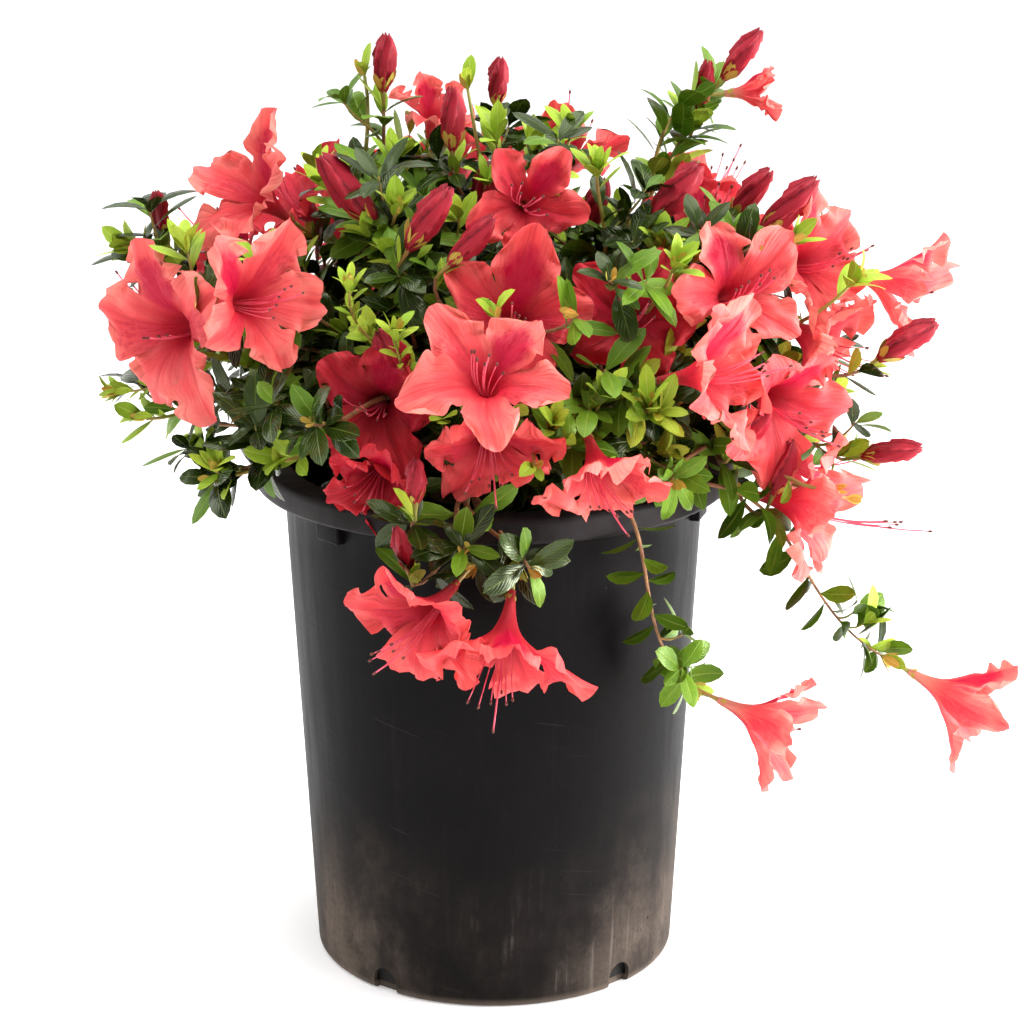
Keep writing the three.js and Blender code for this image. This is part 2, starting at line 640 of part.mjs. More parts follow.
// Every mass: its stem, then all its sprays, then the leaves, fused to one solid
function growMasses() {
  const stems = new Map();
  for (const mass of MASSES) {
    const bough = limbs.get(mass.name);
    const { way } = along(bough, 1);
    const start = bough.points.at(-1).clone().addScaledVector(way, CLEAR);
    const end = start.clone().addScaledVector(way, STEM.length);
    const solid = limbSolid([start, end], taper(STEM.radius, STEM.radius * STEM.taper, 1), STEM.sides);
    stems.set(mass, { start, way, solid });
    keep([solid], mass);
  }
  const sprays = growSprays(stems);
  const owns = ownerOf(sprays);
  sprays.forEach((spray, i) => growLeaves(spray, seeded(SEEDS.leaves + 31 * i), owns));
  return MASSES.map((mass) => {
    const parts = sprays.filter((spray) => spray.mass === mass).flatMap((spray) => spray.parts);
    return largestPiece(wasm.Manifold.union([stems.get(mass).solid, ...parts]));
  });
}

const material = (color, roughness) =>
  new THREE.MeshStandardMaterial({ color, roughness, metalness: 0 });
const POT_PLASTIC = material(0x2b2a2d, 0.55);
const POTTING_MIX = material(0x2a1d15, 0.95);
const BARK = material(0x7a5434, 0.85);
const LEAF_GREEN = material(0x3f6a2c, 0.5);

const potSolid = potShell();
const soilSolid = soilBody();
growBoughs();
keep([potSolid, soilSolid, ...[...limbs.values()].map((limb) => limb.solid)], null);
const massSolids = growMasses();

const shrub = new THREE.Group();

function addMesh(name, solid, look) {
  const mesh = new THREE.Mesh(geometryOf(solid), look);
  mesh.name = name;
  shrub.add(mesh);
}

addMesh("pot", potSolid, POT_PLASTIC);
addMesh("potting_mix", soilSolid, POTTING_MIX);
for (const [name, limb] of limbs) {
  addMesh(name === "trunk" ? "trunk" : `bough_${name}`, limb.solid, BARK);
}
MASSES.forEach((mass, i) => addMesh(`foliage_${mass.name}`, massSolids[i], LEAF_GREEN));

export default shrub;
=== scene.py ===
# The looks of a red azalea shrub in a black nursery pot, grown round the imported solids.
# The plant's rule works in millimetres, as its solids do, and meshes are made in metres.
import json
import math
from functools import partial

import bmesh
import bpy
import numpy as np
from mathutils import Matrix, Vector, noise

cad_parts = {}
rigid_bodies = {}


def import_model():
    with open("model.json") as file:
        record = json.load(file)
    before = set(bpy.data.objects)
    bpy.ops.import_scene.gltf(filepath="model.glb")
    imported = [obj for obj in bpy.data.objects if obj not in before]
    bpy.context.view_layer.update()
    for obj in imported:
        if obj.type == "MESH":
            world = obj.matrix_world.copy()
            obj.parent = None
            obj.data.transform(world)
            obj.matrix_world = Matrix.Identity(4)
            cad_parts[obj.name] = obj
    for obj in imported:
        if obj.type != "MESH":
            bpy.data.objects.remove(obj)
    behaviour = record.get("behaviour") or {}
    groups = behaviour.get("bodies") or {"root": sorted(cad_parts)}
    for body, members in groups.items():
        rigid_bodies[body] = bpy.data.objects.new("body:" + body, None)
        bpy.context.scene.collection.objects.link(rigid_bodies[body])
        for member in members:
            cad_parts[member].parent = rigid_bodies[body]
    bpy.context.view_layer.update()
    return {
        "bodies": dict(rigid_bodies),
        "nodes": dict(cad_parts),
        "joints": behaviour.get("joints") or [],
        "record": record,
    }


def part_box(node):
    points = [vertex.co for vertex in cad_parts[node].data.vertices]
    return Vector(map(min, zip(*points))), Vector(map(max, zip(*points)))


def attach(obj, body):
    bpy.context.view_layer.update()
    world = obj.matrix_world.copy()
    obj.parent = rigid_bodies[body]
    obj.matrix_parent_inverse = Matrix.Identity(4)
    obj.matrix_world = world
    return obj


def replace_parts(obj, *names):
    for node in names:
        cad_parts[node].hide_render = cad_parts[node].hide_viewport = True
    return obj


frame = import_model()

MM = 0.001
UP = Vector((0, 0, 1))
GOLDEN_ANGLE = math.radians(137.508)

# Sizes of the pot, and of the limbs and what they carry, in millimetres
POT_BASE, POT_SHOULDER, POT_BAND, POT_WALL, POT_FLOOR, POT_SIDES = 85, 97, 11.5, 2.4, 3, 192
POT_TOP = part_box("pot")[1].z / MM
POT_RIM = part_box("pot")[1].x / MM
SOIL_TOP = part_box("potting_mix")[1].z / MM
LUG = {"count": 6, "first": -47.5, "width": 15, "height": 12, "depth": 4}
NOTCH = {"width": 13, "height": 12, "middle": 3.5, "half_angle": 40}
CHIPS = {"count": 520, "length": (1.5, 5), "width": (0.8, 2.4), "height": (0.5, 1.2)}
TRUNK = {"flare": 16, "waist": 9.5, "crown": 11.5, "lean": 4, "sides": 28, "steps": 26}
BOUGH = {"foot": 4.2, "tip": 2.1, "branch_foot": 3, "sides": 12, "steps": 18}
STEM_LENGTH = 16
TWIG = {"foot": 1.35, "tip": 0.75, "sides": 6, "steps": 9}
SIDE_TWIG = {"foot": 0.85, "tip": 0.5, "sides": 5, "steps": 6}
TRAIL_SLIMMER = 0.75
BLOOM_SPAN, BLOOM_DEPTH = 72, 31
BUD_LENGTH, BUD_WIDTH = 28, 11.5
# How far a head's foot lies behind its middle, and how long its stalk is
HEADS = {"bloom": (24, 14), "bud": (14, 8), "shoot": (10, 0)}
CROWN_CENTRE, CROWN_REACH, CROWN_ABOVE, CROWN_BELOW = Vector((8, 0, 255)), (186, 160), 158, 42
RIM_CLEAR_RADIUS, RIM_CLEAR_HEIGHT = 84, 254

# The plant's rule: tries at a mass's own sprays and at a twig's line, and how far apart heads stand
FAN = 120
BENDS = 8
BLOOM_APART, HEADS_APART = 52, 26
SHARED_SPACE = 0.1
FILLING = {"count": 400, "down": 0.45, "top": 0.97, "nearest": 0.4, "furthest": 0.8, "open_top": 0.2}

# Tones of a blossom: how deep its red is. Planned blossoms that sit in shade take the deeper tones, so these
# are painted shade as well as the red's own depth; the rule's own blossoms take them at random.
PALE_AND_LIT, MIDDLE_AND_HALF_SHADED, DEEP_AND_SHADED = 0, 1, 2


class Twig:
    """A twig and what it bears at its end. A plan or the rule gives what differs from these values."""

    size, roll, spread, tone = 1.0, 0, 1.0, PALE_AND_LIT
    style, stamens, strap = 1.42, 6, 0
    lime = bare = green = fine = False
    whorl = own = None

    def __init__(self, kind, way, **more):
        self.kind, self.way = kind, way
        self.__dict__.update(more)


def head(kind, place, way, **more):
    """A twig with a head at a place. Its stalk joins the head's base to the twig's node."""
    twig = Twig(kind, way, place=place, **more)
    behind, stalk = HEADS[kind]
    twig.base = place - way * (behind * (twig.size if kind == "bloom" else 1))
    twig.node = twig.base - way * stalk
    return twig


def planned(kind, place, bearing, rise, **more):
    """A head that faces a bearing round the plant (0 faces -Y, 90 faces +X) and a rise, in degrees."""
    turn, lift = math.radians(bearing), math.radians(rise)
    flat = math.cos(lift)
    way = Vector((math.sin(turn) * flat, -math.cos(turn) * flat, math.sin(lift)))
    return head(kind, Vector(place), way, **more)


bloom = partial(planned, "bloom")
bud = partial(planned, "bud")
tip = partial(planned, "shoot")
shoot = partial(tip, lime=True)


class Mass:
    """A mass of foliage: its hub, the limb that carries it and at which share of its length, how many
    sprays grow by rule and how many of them flower, and the planned ones that the plant's best side shows."""

    def __init__(self, name, hub, limb, at, more, blooms, *sprays, trail=False):
        self.name, self.hub, self.limb, self.at = name, Vector(hub), limb, at
        self.blooms, self.total, self.trail = blooms, len(sprays) + more, trail
        self.way = (self.hub - CROWN_CENTRE).normalized()
        self.sprays = []
        for spray in sprays:
            self.take(spray)

    def take(self, spray):
        """Adds a spray, at a share of the stem's length that follows the last one's."""
        self.sprays.append(spray)
        spray.mass, spray.share = self, len(self.sprays) / self.total


MASSES = [
    Mass("left", (-70, -25, 300), "trunk", 0.95, 1, 0,
         bloom((-107, -16, 367), -60, 38, roll=-10, spread=0.86, size=1.02, stamens=0),
         bloom((-143, -62, 314), -44, -2, roll=-14, size=1.32, style=0.8, stamens=3),
         bloom((-101, -102, 338), 46, 12, roll=-45, spread=0.92, size=1.02),
         bud((-150, -20, 362), -40, 72, size=0.75), shoot((-170, -30, 348), -80, 20),
         shoot((-180, -20, 277), -80, 10, fine=True)),
    Mass("left_low", (-74, -52, 266), "left", 0.5, 1, 0,
         tip((-127, -90, 254), -30, 10), shoot((-122, -96, 268), -25, 60), tip((-98, -84, 290), -40, 35)),
    Mass("front_left", (-36, -60, 286), "front", 0.5, 1, 0,
         shoot((-60, -108, 354), 10, 82, whorl=6, fine=True),
         shoot((-40, -112, 334), 25, 70, fine=True), bud((-32, -130, 269), 10, 78, size=0.8),
         bloom((-50, -84, 287), -10, 5, roll=15, tone=DEEP_AND_SHADED, size=0.92),
         bloom((-50, -94, 256), -15, -20, roll=30, spread=0.75, tone=DEEP_AND_SHADED, size=0.75)),
    Mass("front", (0, -54, 301), "trunk", 0.9, 1, 0,
         bloom((-2, -136, 314), -4, 48, roll=34, spread=1.04, size=1.06, style=0.95),
         bloom((-1, -120, 277), 4, -34, roll=-10, spread=0.96, tone=MIDDLE_AND_HALF_SHADED, size=0.92),
         bloom((9, -86, 326), -2, 20, roll=12, tone=MIDDLE_AND_HALF_SHADED, size=1.1),
         bud((-9, -80, 358), 85, 45), tip((2, -116, 270), 0, -15),
         shoot((20, -142, 278), 15, 20), shoot((0, -114, 340), -20, 50, whorl=4),
         tip((28, -110, 336), -60, 20, whorl=4)),
    Mass("front_hanging", (-10, -78, 252), "front", 0.32, 0, 0,
         bloom((-30, -138, 207), -38, -24, roll=-15, spread=0.92, size=1.1, tone=MIDDLE_AND_HALF_SHADED),
         bloom((5, -146, 196), -12, -52, roll=20, spread=0.88, size=1.14, tone=MIDDLE_AND_HALF_SHADED),
         bud((-38, -126, 237), -30, 70, size=0.75), tip((-12, -140, 240), 0, 20),
         tip((22, -138, 226), 40, -12)),
    Mass("front_right", (36, -68, 272), "front", 0.42, 2, 0,
         bloom((46, -128, 268), 20, -42, roll=20, spread=0.84, size=0.94),
         shoot((26, -124, 292), 5, 40)),
    Mass("right_front", (46, -38, 294), "right", 0.3, 1, 0,
         bloom((94, -114, 309), 66, 12, roll=40, spread=0.82, size=1.08),
         bloom((106, -70, 334), 22, 24, roll=-12, spread=0.98, size=1.02),
         bloom((60, -72, 322), 10, 25, roll=20, tone=DEEP_AND_SHADED, size=0.96),
         shoot((66, -122, 303), 0, 60), tip((51, -106, 354), 10, 55)),
    Mass("right_high", (72, -12, 322), "right", 0.55, 1, 0,
         bloom((143, -26, 338), 50, 14, roll=-10, spread=0.9), bud((129, -34, 362), 82, 42, size=1.2),
         bloom((94, 2, 350), 20, 45, tone=DEEP_AND_SHADED, size=0.9), shoot((74, -60, 358), 10, 65),
         tip((91, -62, 350), 30, 40), shoot((139, -56, 357), 78, 25, whorl=5),
         tip((122, -62, 351), 70, 0, whorl=5)),
    Mass("right", (92, -20, 292), "trunk", 0.93, 1, 0,
         bloom((184, -10, 322), 72, -14, roll=15, spread=0.66, size=1.08, stamens=3, style=0.9, strap=0.8),
         bloom((148, -26, 300), 60, -22, roll=-20, spread=0.9, size=1.05),
         bloom((126, -74, 284), 40, -18, roll=30, spread=0.9, tone=MIDDLE_AND_HALF_SHADED, size=1.1),
         bud((182, -46, 306), 84, 38, size=1.12), shoot((165, -50, 340), 78, 45, whorl=5)),
    Mass("right_low", (87, -44, 266), "right", 0.47, 1, 0,
         bloom((141, -62, 234), 72, -8, roll=10, spread=0.82, size=1.16, style=1.85),
         bud((129, -66, 253), 60, 68), bud((112, -80, 274), 40, 50), shoot((170, -38, 230), 85, -5),
         tip((82, -104, 254), 25, -15)),
    Mass("front_trail", (40, -77, 254), "trunk", 0.5, 0, 0,
         bloom((121, -103, 147), 70, -20, roll=10, spread=0.66, stamens=3, style=0.9, strap=1), trail=True),
    Mass("right_trail", (78, -66, 251), "right", 0.26, 0, 0,
         bloom((211, -62, 143), 74, -26, roll=-5, spread=0.6, size=1.06, stamens=3, style=0.9, strap=0.8),
         trail=True),
    Mass("top_left", (-42, 12, 330), "top", 0.5, 0, 0,
         bud((-50, 20, 420), 0, 86), bloom((-28, 36, 396), 20, 66, spread=0.8, size=0.66, stamens=0),
         bud((-60, -50, 371), -90, 48, size=1.3), bloom((-90, 20, 356), -70, 50, tone=DEEP_AND_SHADED, size=0.9),
         shoot((-71, -24, 380), -30, 75, whorl=5), shoot((-41, -60, 375), 20, 70),
         shoot((-61, 18, 423), -50, 70, whorl=2, bare=True)),
    Mass("top", (-1, -6, 336), "trunk", 0.98, 1, 0,
         bud((2, 14, 414), 20, 84, size=0.85), bud((-18, -20, 400), 0, 84),
         bud((-29, -72, 365), 90, 58, size=1.2),
         bloom((15, -52, 370), 6, 14, roll=40, tone=MIDDLE_AND_HALF_SHADED, size=0.8),
         shoot((35, -16, 402), 0, 75, whorl=5), shoot((-13, -4, 421), -40, 75, whorl=2, bare=True)),
    Mass("top_right_far", (54, 16, 338), "top", 0.42, 0, 0,
         bud((113, 30, 421), 80, 52, size=0.95, green=True, lime=True),
         bloom((119, 29, 405), 90, 4, spread=0.42, size=0.55, stamens=0, strap=0.8, green=True, lime=True),
         bud((97, 30, 409), 60, 75, size=0.8, green=True, lime=True)),
    Mass("top_right", (40, -26, 332), "top", 0.6, 1, 0,
         bud((78, -42, 369), 80, 50, size=1.25), shoot((46, -48, 392), 10, 78, whorl=8)),
    Mass("back_left", (-76, 45, 300), "trunk", 0.9, 4, 2),
    Mass("back_left_low", (-46, 76, 268), "back", 0.4, 5, 2),
    Mass("back", (-2, 62, 312), "trunk", 0.96, 5, 2),
    Mass("back_low", (8, 86, 274), "back", 0.52, 5, 2),
    Mass("back_right", (64, 56, 306), "trunk", 0.88, 5, 2),
    Mass("back_right_low", (68, 74, 264), "back_right", 0.45, 4, 2),
    Mass("far_left", (-94, 20, 272), "back_left", 0.5, 3, 1),
    Mass("far_right", (102, 30, 286), "back_right", 0.5, 4, 1),
]


def seeded(seed):
    """A repeatable run of numbers from 0 to 1."""
    state = seed

    def draw():
        nonlocal state
        state = (state * 16807) % 2147483647
        return state / 2147483647

    return draw


def draws_for(group, index):
    """A run of numbers of its own for the index-th thing of a group."""
    draw = seeded(group * 7919 + index * 104729 + 1)
    for _ in range(3):
        draw()
    return draw


def shake(random, size):
    return Vector((random() - 0.5, random() - 0.5, random() - 0.5)) * size


def sides_of(along):
    """Two directions square to along: one level, the other the upper side."""
    level = Vector((1, 0, 0)) if abs(along.z) > 0.98 else UP
    right = level.cross(along).normalized()
    return right, along.cross(right).normalized()


def turned(first, second, turn):
    """The direction at a turn from the first of two square directions towards the second."""
    return first * math.cos(turn) + second * math.sin(turn)


def bend(start, leave, end, arrive, steps):
    """The points of a limb that leaves start one way and reaches end another."""
    arm = (end - start).length * 0.38
    first, second = start + leave * arm, end - arrive * arm
    points = []
    for i in range(steps + 1):
        t = i / steps
        s = 1 - t
        points.append(start * s**3 + first * (3 * s * s * t) + second * (3 * s * t * t) + end * t**3)
    return points


def along(points, share):
    """The place and direction of a limb at a share of its length."""
    at = share * (len(points) - 1)
    low = min(int(at), len(points) - 2)
    return points[low].lerp(points[low + 1], at - low), (points[low + 1] - points[low]).normalized()


def end_way(points):
    return (points[-1] - points[-2]).normalized()


def length_of(points):
    return sum((b - a).length for a, b in zip(points, points[1:]))


def frames_along(points, level=False):
    """Right and upper directions at each point, turned as little as can be from one to the next."""
    right = sides_of((points[1] - points[0]).normalized())[0]
    frames = []
    for i in range(len(points)):
        way = points[min(i + 1, len(points) - 1)] - points[max(i - 1, 0)]
        way = UP.copy() if level and i == 0 else way.normalized()
        right = (right - way * right.dot(way)).normalized()
        frames.append((right, way.cross(right)))
    return frames


class Pile:
    """Points in millimetres, faces and UVs that become one mesh."""

    def __init__(self, name):
        self.name, self.count = name, 0
        self.points, self.faces, self.uvs = [], [], []

    def add(self, points, faces, uvs=None):
        """faces: arrays of corners, one array for each face size."""
        points = np.asarray(points, float).reshape(-1, 3)
        for corners in faces:
            self.faces += (corners + self.count).tolist()
        self.points.append(points)
        if uvs is not None:
            self.uvs.append(uvs.reshape(-1, 2))
        self.count += len(points)

    def mesh(self):
        me = bpy.data.meshes.new(self.name)
        me.from_pydata(np.concatenate(self.points) * MM, [], self.faces, shade_flat=False)
        if self.uvs:
            corners = np.empty(len(me.loops), np.int32)
            me.loops.foreach_get("vertex_index", corners)
            uvs = np.concatenate(self.uvs)[corners].astype(np.float32)
            me.uv_layers.new(name="OFBake").uv.foreach_set("vector", uvs.ravel())
        me.validate()
        return me


def placed(data):
    """An object of the scene that shows a mesh, light or camera, under the same name."""
    ob = bpy.data.objects.new(data.name, data)
    bpy.context.scene.collection.objects.link(ob)
    return ob


def piece(me, material):
    """A piece of the plant, on the part's one body."""
    ob = placed(me)
    me.materials.append(material)
    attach(ob, "root")
    return ob


def write_back(made, me):
    """Ends the edit of a mesh."""
    made.to_mesh(me)
    made.free()
    return me


def grid_faces(rows, columns, closed=False):
    """Quads between rows of points. closed joins the last column to the first."""
    r, c = np.meshgrid(np.arange(rows - 1), np.arange(columns if closed else columns - 1), indexing="ij")
    a = (r * columns + c).ravel()
    b = (r * columns + (c + 1) % columns).ravel()
    return np.stack([a, b, b + columns, a + columns], axis=1)


def tube_faces(rows, columns):
    """The wall of a tube of points in rings, and its two ends."""
    ring = np.arange(columns)
    return [grid_faces(rows, columns, closed=True), np.array([ring[::-1], ring + (rows - 1) * columns])]


def limb_skin(pile, points, radii, sides, level=False, relief=None):
    """A tapering limb with closed ends. relief(i, k) scales its radius round and along it."""
    frames = frames_along(points, level)
    places = []
    for i, (point, (right, upper)) in enumerate(zip(points, frames)):
        for k in range(sides):
            turn = 2 * math.pi * k / sides
            reach = radii[i] * (relief(i, k) if relief else 1)
            places.append(point + right * (math.cos(turn) * reach) + upper * (math.sin(turn) * reach))
    pile.add([tuple(p) for p in places], tube_faces(len(points), sides))


def taper(first, last, steps):
    return [first + (last - first) * i / steps for i in range(steps + 1)]


# Boughs

def trunk_line(steps):
    low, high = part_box("trunk")
    foot, height = low.z / MM, (high.z - low.z) / MM
    shares = [i / steps for i in range(steps + 1)]
    return [Vector((-TRUNK["lean"] * t * t, TRUNK["lean"] * t / 2, foot + height * t)) for t in shares]


def grow_boughs():
    """Gives each mass the line of its bough, as the solids have it."""
    lines = {"trunk": trunk_line(4)}
    for m in sorted(MASSES, key=lambda m: m.limb != "trunk"):
        place, way = along(lines[m.limb], m.at)
        out = (m.hub - place).normalized()
        leave = Vector((out.x, out.y, out.z * 0.6 + 0.1)) if m.limb == "trunk" else out + way
        flat = Vector((m.hub.x, m.hub.y, 0)).normalized()
        arrive = (out + flat * 0.4).normalized()
        m.line = bend(place, leave.normalized(), m.hub, arrive, BOUGH["steps"])
        lines[m.name] = m.line


def bark_relief(seed, sides, depth):
    """Long ridges and knots of bark, as a factor on the radius."""
    def scale(i, k):
        turn = 2 * math.pi * k / sides
        ridges = noise.noise(Vector((math.cos(turn) * 2.2, math.sin(turn) * 2.2, i * 0.35 + seed)))
        knots = noise.noise(Vector((math.cos(turn), math.sin(turn), i * 0.16 + seed * 3)))
        return 1 + depth * ridges + depth * 0.9 * knots
    return scale


def add_bark(pile):
    """The trunk, and each bough with the stem that runs on into its mass."""
    waist, sides, steps = TRUNK["waist"], TRUNK["sides"], TRUNK["steps"]
    radii = [TRUNK["flare"], waist + 4, waist + 1.5, waist, TRUNK["crown"], waist]
    reach = [float(np.interp(i / steps, [0, 0.08, 0.16, 0.4, 0.7, 1], radii)) for i in range(steps + 1)]
    limb_skin(pile, trunk_line(steps), reach, sides, True, bark_relief(5, sides, 0.16))
    end, sides = BOUGH["tip"], BOUGH["sides"]
    for index, m in enumerate(MASSES):
        foot = BOUGH["foot"] if m.limb == "trunk" else BOUGH["branch_foot"]
        line = [*m.line, *(m.line[-1] + end_way(m.line) * (STEM_LENGTH * share) for share in (0.5, 1))]
        radii = [*taper(foot, end, BOUGH["steps"]), end * 0.9, end * 0.7]
        limb_skin(pile, line, radii, sides, relief=bark_relief(index * 7, sides, 0.14))


# Twigs

def crown_reach(way):
    """How far the crown reaches from its middle in a direction."""
    tall = CROWN_ABOVE if way.z > 0 else CROWN_BELOW
    return 1 / math.hypot(way.x / CROWN_REACH[0], way.y / CROWN_REACH[1], way.z / tall)


def spot_by_rule(m, i, kind, random):
    """A place and direction in the crown's outer shell for the i-th try at a mass's own sprays, fanned
    round the way of its hub. Nothing comes back where another mass's hub lies much nearer to that way."""
    right, upper = sides_of(m.way)
    turn = GOLDEN_ANGLE * i
    spread = 0.11 * math.sqrt(i + 0.5) * (0.9 + 0.2 * random())
    way = m.way + right * (spread * math.cos(turn)) + upper * (spread * math.sin(turn))
    way.normalize()
    depth = 0.88 + 0.1 * random() if kind == "bloom" else 0.66 + 0.32 * random()
    if m.way.dot(way) < max(other.way.dot(way) for other in MASSES) - SHARED_SPACE:
        return None
    return CROWN_CENTRE + way * (crown_reach(way) * depth), (way + UP * 0.25).normalized()


def grow_own_sprays(m, seed, sprays):
    """Adds a mass's own sprays to all those before them, with each head clear of the rest."""
    made = 0
    for i in range(FAN):
        if len(m.sprays) == m.total:
            break
        random = seeded(seed + 37 * i)
        kind = "bloom" if made < m.blooms else "shoot" if i % 3 else "bud"
        spot = spot_by_rule(m, i, kind, random)
        apart = BLOOM_APART if kind == "bloom" else HEADS_APART
        if spot is None or any((spot[0] - other.place).length < apart for other in sprays):
            continue
        spray = head(kind, *spot, roll=60 * (random() - 0.5), spread=0.85 + 0.25 * random(),
                     size=0.95 + 0.12 * random(), tone=int(random() * 2.6), lime=random() < 0.5)
        m.take(spray)
        sprays.append(spray)
        made += 1


def grow_sprays():
    """Every planned spray and then each mass's own, with the blossoms that all else keeps out of."""
    sprays = [spray for m in MASSES for spray in m.sprays]
    for index, m in enumerate(MASSES):
        grow_own_sprays(m, 1009 * (index + 1), sprays)
    blossoms = Blossoms([spray for spray in sprays if spray.kind == "bloom"])
    for index, spray in enumerate(sprays):
        bend_spray(spray, blossoms, seeded(631 + 61 * index))
    return sprays, blossoms


class Blossoms:
    """The funnels of all blossoms, which leaves and twigs keep out of."""

    def __init__(self, heads):
        for number, blossom in enumerate(heads):
            blossom.own = number
        self.bases = np.array([blossom.base for blossom in heads], float)
        self.ways = np.array([blossom.way for blossom in heads], float)
        self.halves = np.array([BLOOM_SPAN / 2 * blossom.size for blossom in heads], float)

    def holds(self, points, before, own=None):
        """Whether any of the points lies in a funnel, or less than before in front of an open face."""
        offsets = np.array([tuple(p) for p in points], float)[:, None] - self.bases[None]
        z = (offsets * self.ways).sum(-1)
        r = np.sqrt(np.maximum((offsets * offsets).sum(-1) - z * z, 0))
        z = z / (self.halves * BLOOM_DEPTH * 2 / BLOOM_SPAN)
        front = 1 + before / BLOOM_DEPTH
        wall = np.interp(z, [0, 0.5, 0.85, 1, front], [0.1, 0.24, 0.56, 0.95, 0.75]) * self.halves
        inside = (z > 0.02) & (z < front) & (r < wall + 2)
        if own is not None:
            inside[:, own] = False
        return bool(inside.any())


def twig_line(start, stem_way, node, way, trailing, attempt, random, steps):
    """The line of a twig from a mass's stem to a head, bent more freely with each attempt."""
    straight = (node - start).normalized()
    lift = Vector((0, 0, 0.5 if trailing else 0.1))
    leave = straight + stem_way * 0.6 + lift + shake(random, attempt * 0.25)
    arrive = way + straight * 0.8 + shake(random, attempt * 0.2)
    return bend(start, leave.normalized(), node, arrive.normalized(), steps)


def hits_pot(points):
    """Whether a line passes through the pot's rim or wall, or into its soil."""
    for p in points:
        r = math.hypot(p.x, p.y)
        wall = POT_BASE + (POT_SHOULDER - POT_BASE) * p.z / POT_TOP
        if p.z < SOIL_TOP + 2 and r < wall + 2:
            return True
        if abs(p.z - POT_TOP + POT_BAND / 2) < POT_BAND / 2 + 2 and 88 < r < POT_RIM + 2:
            return True
    return False


def hides_rim(points):
    """Whether a twig or leaf that no plan names would hang over the rim and hide it."""
    return any(math.hypot(p.x, p.y) > RIM_CLEAR_RADIUS and p.z < RIM_CLEAR_HEIGHT for p in points)


def bend_spray(spray, blossoms, random):
    """Gives a spray its twig's points, bent again while they run through the pot or a blossom."""
    line, trail = spray.mass.line, spray.mass.trail
    start = line[-1] + end_way(line) * (2 + spray.share * (STEM_LENGTH - 3))
    steps = TWIG["steps"] * (2 if trail else 1)
    for attempt in range(BENDS):
        spray.points = twig_line(start, end_way(line), spray.node, spray.way, trail, attempt, random, steps)
        if not hits_pot(spray.points) and not blossoms.holds(spray.points[1:], 6, spray.own):
            break


def side_twigs(spray, blossoms, index):
    """Short leafy twigs along a spray's outer part, each turned by the golden angle from the last."""
    points, trailing = spray.points, spray.mass.trail
    alone = spray.bare or spray.green or spray.fine
    count = 3 if trailing else 0 if alone else int(length_of(points) / 20)
    first, part = (0.76, 0.2) if trailing else (0.2, 0.7)
    frames = frames_along(points)
    random = draws_for(2, index)
    made = []
    for i in range(count):
        share = first + part * (i + 0.6 * random()) / count
        start, way = along(points, share)
        out = turned(*frames[int(share * (len(points) - 1))], GOLDEN_ANGLE * i + random())
        if out.z < -0.5:
            out.z *= 0.3
        reach = (9 + 6 * random()) if trailing else (20 + 20 * random()) * (1.15 - 0.5 * share)
        out_of_crown = Vector((start.x, start.y, 0)).normalized()
        ahead = (way * 0.7 + out * 0.9 + UP * 0.45 + out_of_crown * 0.25).normalized()
        leave, arrive = (way + out * 0.6).normalized(), (ahead + UP * 0.5).normalized()
        line = bend(start, leave, start + ahead * reach, arrive, SIDE_TWIG["steps"])
        if hits_pot(line[1:]) or blossoms.holds(line[2:], 12) or not trailing and hides_rim(line[-2:]):
            continue
        made.append(Twig("side", end_way(line), points=line, mass=spray.mass, lime=random() < 0.42,
                         whorl=3 if trailing else 5))
    return made


def filling_twigs(blossoms):
    """Leafy twigs that fill the crown's inside, on a spiral of directions, each from the bough whose hub
    lies nearest to its own direction."""
    made = []
    count, top, nearest = FILLING["count"], FILLING["top"], FILLING["nearest"]
    for i in range(count):
        random = draws_for(3, i)
        z = top - (top + FILLING["down"]) * (i + 0.5) / count
        flat = math.sqrt(1 - z * z)
        turn = GOLDEN_ANGLE * i
        way = Vector((flat * math.sin(turn), -flat * math.cos(turn), z))
        furthest = FILLING["furthest"] - FILLING["open_top"] * max(z, 0) ** 2
        depth = nearest + (furthest - nearest) * random()
        place = CROWN_CENTRE + way * (crown_reach(way) * depth)
        m = max((m for m in MASSES if not m.trail), key=lambda m: m.way.dot(way))
        start, stem_way = along(m.line, 0.55 + 0.45 * random())
        head_way = (way + UP * 0.5 + shake(random, 0.7)).normalized()
        points = twig_line(start, stem_way, place, head_way, False, 1, random, TWIG["steps"])
        if hits_pot(points[2:]) or hides_rim(points[-3:]) or blossoms.holds(points[-4:], 12):
            continue
        # Few twigs inside the crown are lime: part of the painted shade there
        made.append(Twig("fill", head_way, points=points, mass=m, lime=random() < 0.08))
    return made


# Leaves

LEAF_ROWS = np.array([0, 0.09, 0.28, 0.5, 0.72, 0.9])
LEAF_OUTLINE = np.array([0.07, 0.2, 0.72, 0.98, 0.92, 0.52])
LEAF_COLUMNS = np.array([-1, -0.5, 0, 0.5, 1])
LEAF_CELLS = 8
# How leaves stand on each kind of twig: first share of its length, millimetres between two leaves
LEAVING = {"side": (0.1, 4.6), "fill": (0.25, 5.4), "bud": (0.3, 4.6), "bloom": (0.35, 5.6),
           "shoot": (0.25, 5.0), "trail": (0.1, 5.4), "green": (0.3, 4.0), "fine": (0.35, 2.6)}
WHORLS = {"side": 5, "fill": 5, "bud": 6, "bloom": 5, "shoot": 7}
